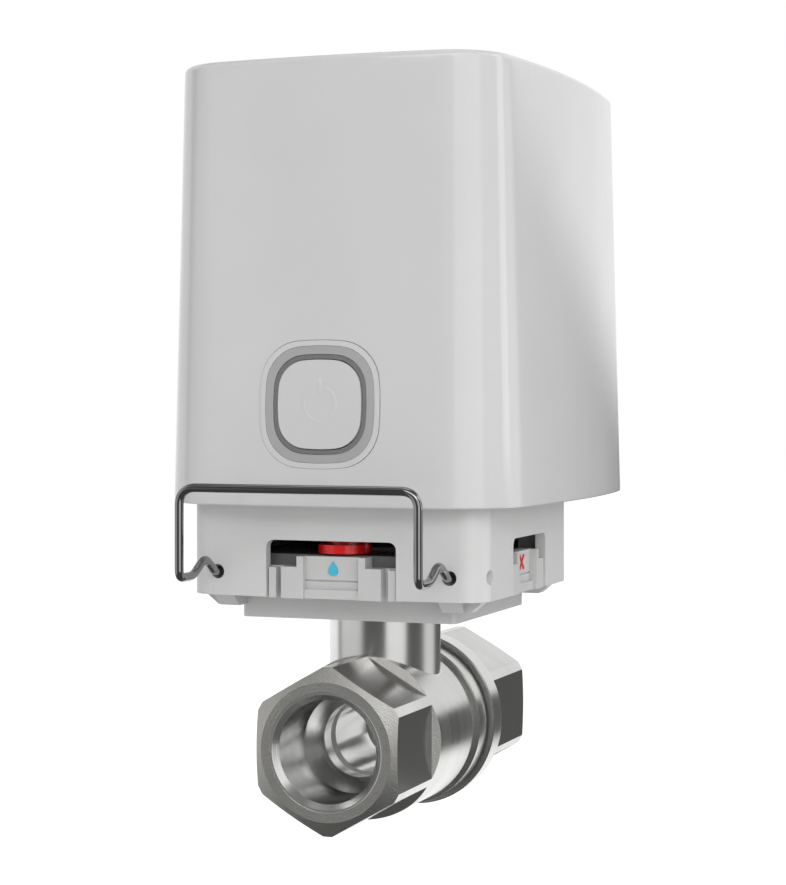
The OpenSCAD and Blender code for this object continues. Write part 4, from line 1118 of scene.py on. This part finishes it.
@dataclass
class Studio:
    """Camera at the photographed angle, white surroundings and soft lamps.

    Levels are strengths of white light; near, floor_rim, floor_front, aim and the lamps are in metres.
    """

    turn: float = 0.3600
    eye: Vec = (150.7, -366.5, 64.44)
    lens: float = 90.69
    sensor: float = 36.0
    near: float = 0.01
    shift: Pair = (-0.0015, -0.060)
    room_level: float = 0.12
    fill_level: float = 0.443
    side_edges: Pair = (-0.9, 0.9)
    side_levels: Pair = (0.95, 1.85)
    high_edges: Pair = (0.55, 0.8)
    high_level: float = 0.1
    backdrop: Wall = Wall((-0.127, 0.378, 0.917), (0.35, 0.42), 1.0 - room_level)
    back_panel: Wall = Wall((-0.845, 0.528, -0.087), (0.82, 0.93), 1.0)
    left_wall: Wall = Wall((-0.83, -0.55, -0.1), (0.82, 0.94), 0.64)
    right_panel: Wall = Wall((0.803, 0.583, -0.122), (0.92, 0.985), 0.75)
    floor_z: float = -60.0
    floor_half: float = 3000.0
    floor_rows: int = 9
    floor_rim: Pair = (0.20, 0.32)
    floor_front: Pair = (0.05, 0.10)
    floor_tone: float = 0.85
    floor_glow: float = 0.5
    aim: Vec = (0.0, 0.03, 0.06)
    lamps: tuple[Lamp, ...] = (
        Lamp("front_right_softbox", (0.76, -0.77, 0.25), (0.90, 1.25), 3.55),
        Lamp("right_strip", (1.04, 0.33, 0.47), (0.28, 0.9), 1.35),
        Lamp("front_softbox", (0.18, -1.05, 0.62), (1.0, 0.40), 2.9),
        Lamp("top_softbox", (-0.15, 0.1, 1.2), (0.7, 0.7), 1.2),
    )

    def camera(self) -> None:
        """Level camera turned about Z, with the photograph's principal point as its shift."""
        data = bpy.data.cameras.new("front_left_camera")
        data.lens, data.sensor_width = self.lens, self.sensor
        data.shift_x, data.shift_y = self.shift
        data.clip_start = self.near
        eye = bpy.data.objects.new("front_left_camera", data)
        eye.location = [v * MM for v in self.eye]
        eye.rotation_euler = (math.pi / 2, 0.0, self.turn)
        bpy.context.scene.collection.objects.link(eye)
        bpy.context.scene.camera = eye

    def surroundings(self) -> None:
        """World: white to the camera, the studio to glossy and clear rays, and a soft level to diffuse ones.

        Metal mirrors a white backdrop above and behind, dim overhead, a dim room in front, a white panel at the
        back on the left, a grey wall at the front on the left and a low panel at the back on the right. Diffuse
        rays get more light from the right.
        """
        world = bpy.data.worlds.new("white_studio")
        bpy.context.scene.world = world
        world.use_nodes = True
        make = NodeMaker(world.node_tree)
        world.node_tree.nodes.clear()
        seen, mirrored = make.ray_kinds()
        ray = make.add("ShaderNodeTexCoord").outputs["Generated"]
        parts = make.add("ShaderNodeSeparateXYZ", Vector=ray).outputs
        low = make.ramp(parts["Z"], self.high_edges, 1.0, self.high_level)
        backdrop = make.maths("MULTIPLY", self.backdrop.build(make, ray), low)
        behind = make.maths("MAXIMUM", backdrop, self.back_panel.build(make, ray))
        beside = [wall.build(make, ray) for wall in (self.left_wall, self.right_panel)]
        room = make.chain("ADD", behind, self.room_level, *beside)
        side = make.ramp(parts["X"], self.side_edges, *self.side_levels)
        pale = make.fade(mirrored, make.maths("MULTIPLY", side, self.fill_level), room)
        strength = make.fade(seen, pale, 1.0)
        back = make.add("ShaderNodeBackground", Color=rgba(grey(1.0)), Strength=strength)
        make.add("ShaderNodeOutputWorld", Surface=back.outputs[0])

    def floor(self) -> None:
        """White floor that takes the shadow; metal mirrors only its middle, and the room beyond that."""
        line = np.linspace(-self.floor_half, self.floor_half, self.floor_rows)
        x, y = np.meshgrid(line, line, indexing="ij")
        points = np.stack([x, y, np.full_like(x, self.floor_z)], -1).reshape(-1, 3)
        piece = new_piece("studio_floor", points, grid_faces(self.floor_rows, self.floor_rows, False))
        material, make = new_material("pale_floor")
        material.node_tree.nodes.clear()
        seen, mirrored = make.ray_kinds()
        where = make.add("ShaderNodeTexCoord").outputs["Object"]
        length = make.feed("ShaderNodeVectorMath", (where,), operation="LENGTH").outputs["Value"]
        depth = make.add("ShaderNodeSeparateXYZ", Vector=where).outputs["Y"]
        front = make.ramp(depth, self.floor_front, 1.0, 0.0)
        beyond = make.maths("MAXIMUM", make.ramp(length, self.floor_rim), front)
        glow = make.maths("MULTIPLY", make.maths("MAXIMUM", seen, mirrored), self.floor_glow)
        matt = make.add("ShaderNodeBsdfDiffuse", Color=rgba(grey(self.floor_tone)))
        white = make.add("ShaderNodeEmission", Color=rgba(grey(1.0)), Strength=glow)
        both = make.feed("ShaderNodeAddShader", (matt.outputs[0], white.outputs[0]))
        clear = make.add("ShaderNodeBsdfTransparent")
        away = make.maths("MULTIPLY", mirrored, beyond)
        shown = make.feed("ShaderNodeMixShader", (away, both.outputs[0], clear.outputs[0]))
        make.add("ShaderNodeOutputMaterial", Surface=shown.outputs[0])
        piece.data.materials.append(material)

    def build(self) -> None:
        """Sets up camera, world, floor, lamps and the plain view transform."""
        self.camera()
        self.surroundings()
        self.floor()
        for lamp in self.lamps:
            lamp.build(self.aim)
        bpy.context.scene.view_settings.view_transform = "Standard"


def dress_solids(nodes: Nodes, record: dict, palette: Palette) -> None:
    """Gives every solid the finish of its slot in the record.

    Args:
        nodes: The solids by name.
        record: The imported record.
        palette: The part's materials.
    """
    for entry in record["subparts"]:
        palette.dress(nodes[entry["node"]], OWN_FINISH.get(entry["node"], entry["material_slot"]))


def main() -> None:
    """Loads the solids, dresses them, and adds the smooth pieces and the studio."""
    logging.basicConfig(level=logging.INFO, format="%(name)s: %(message)s")
    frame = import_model()
    palette = Palette()
    dress_solids(frame["nodes"], frame["record"], palette)
    for assembly in (Cover(), WireClip(), PowerMark()):
        piece = assembly.build(palette)
        LOG.info("%s: %d faces", piece.name, len(piece.data.polygons))
    Studio().build()


if __name__ == "__main__":
    main()
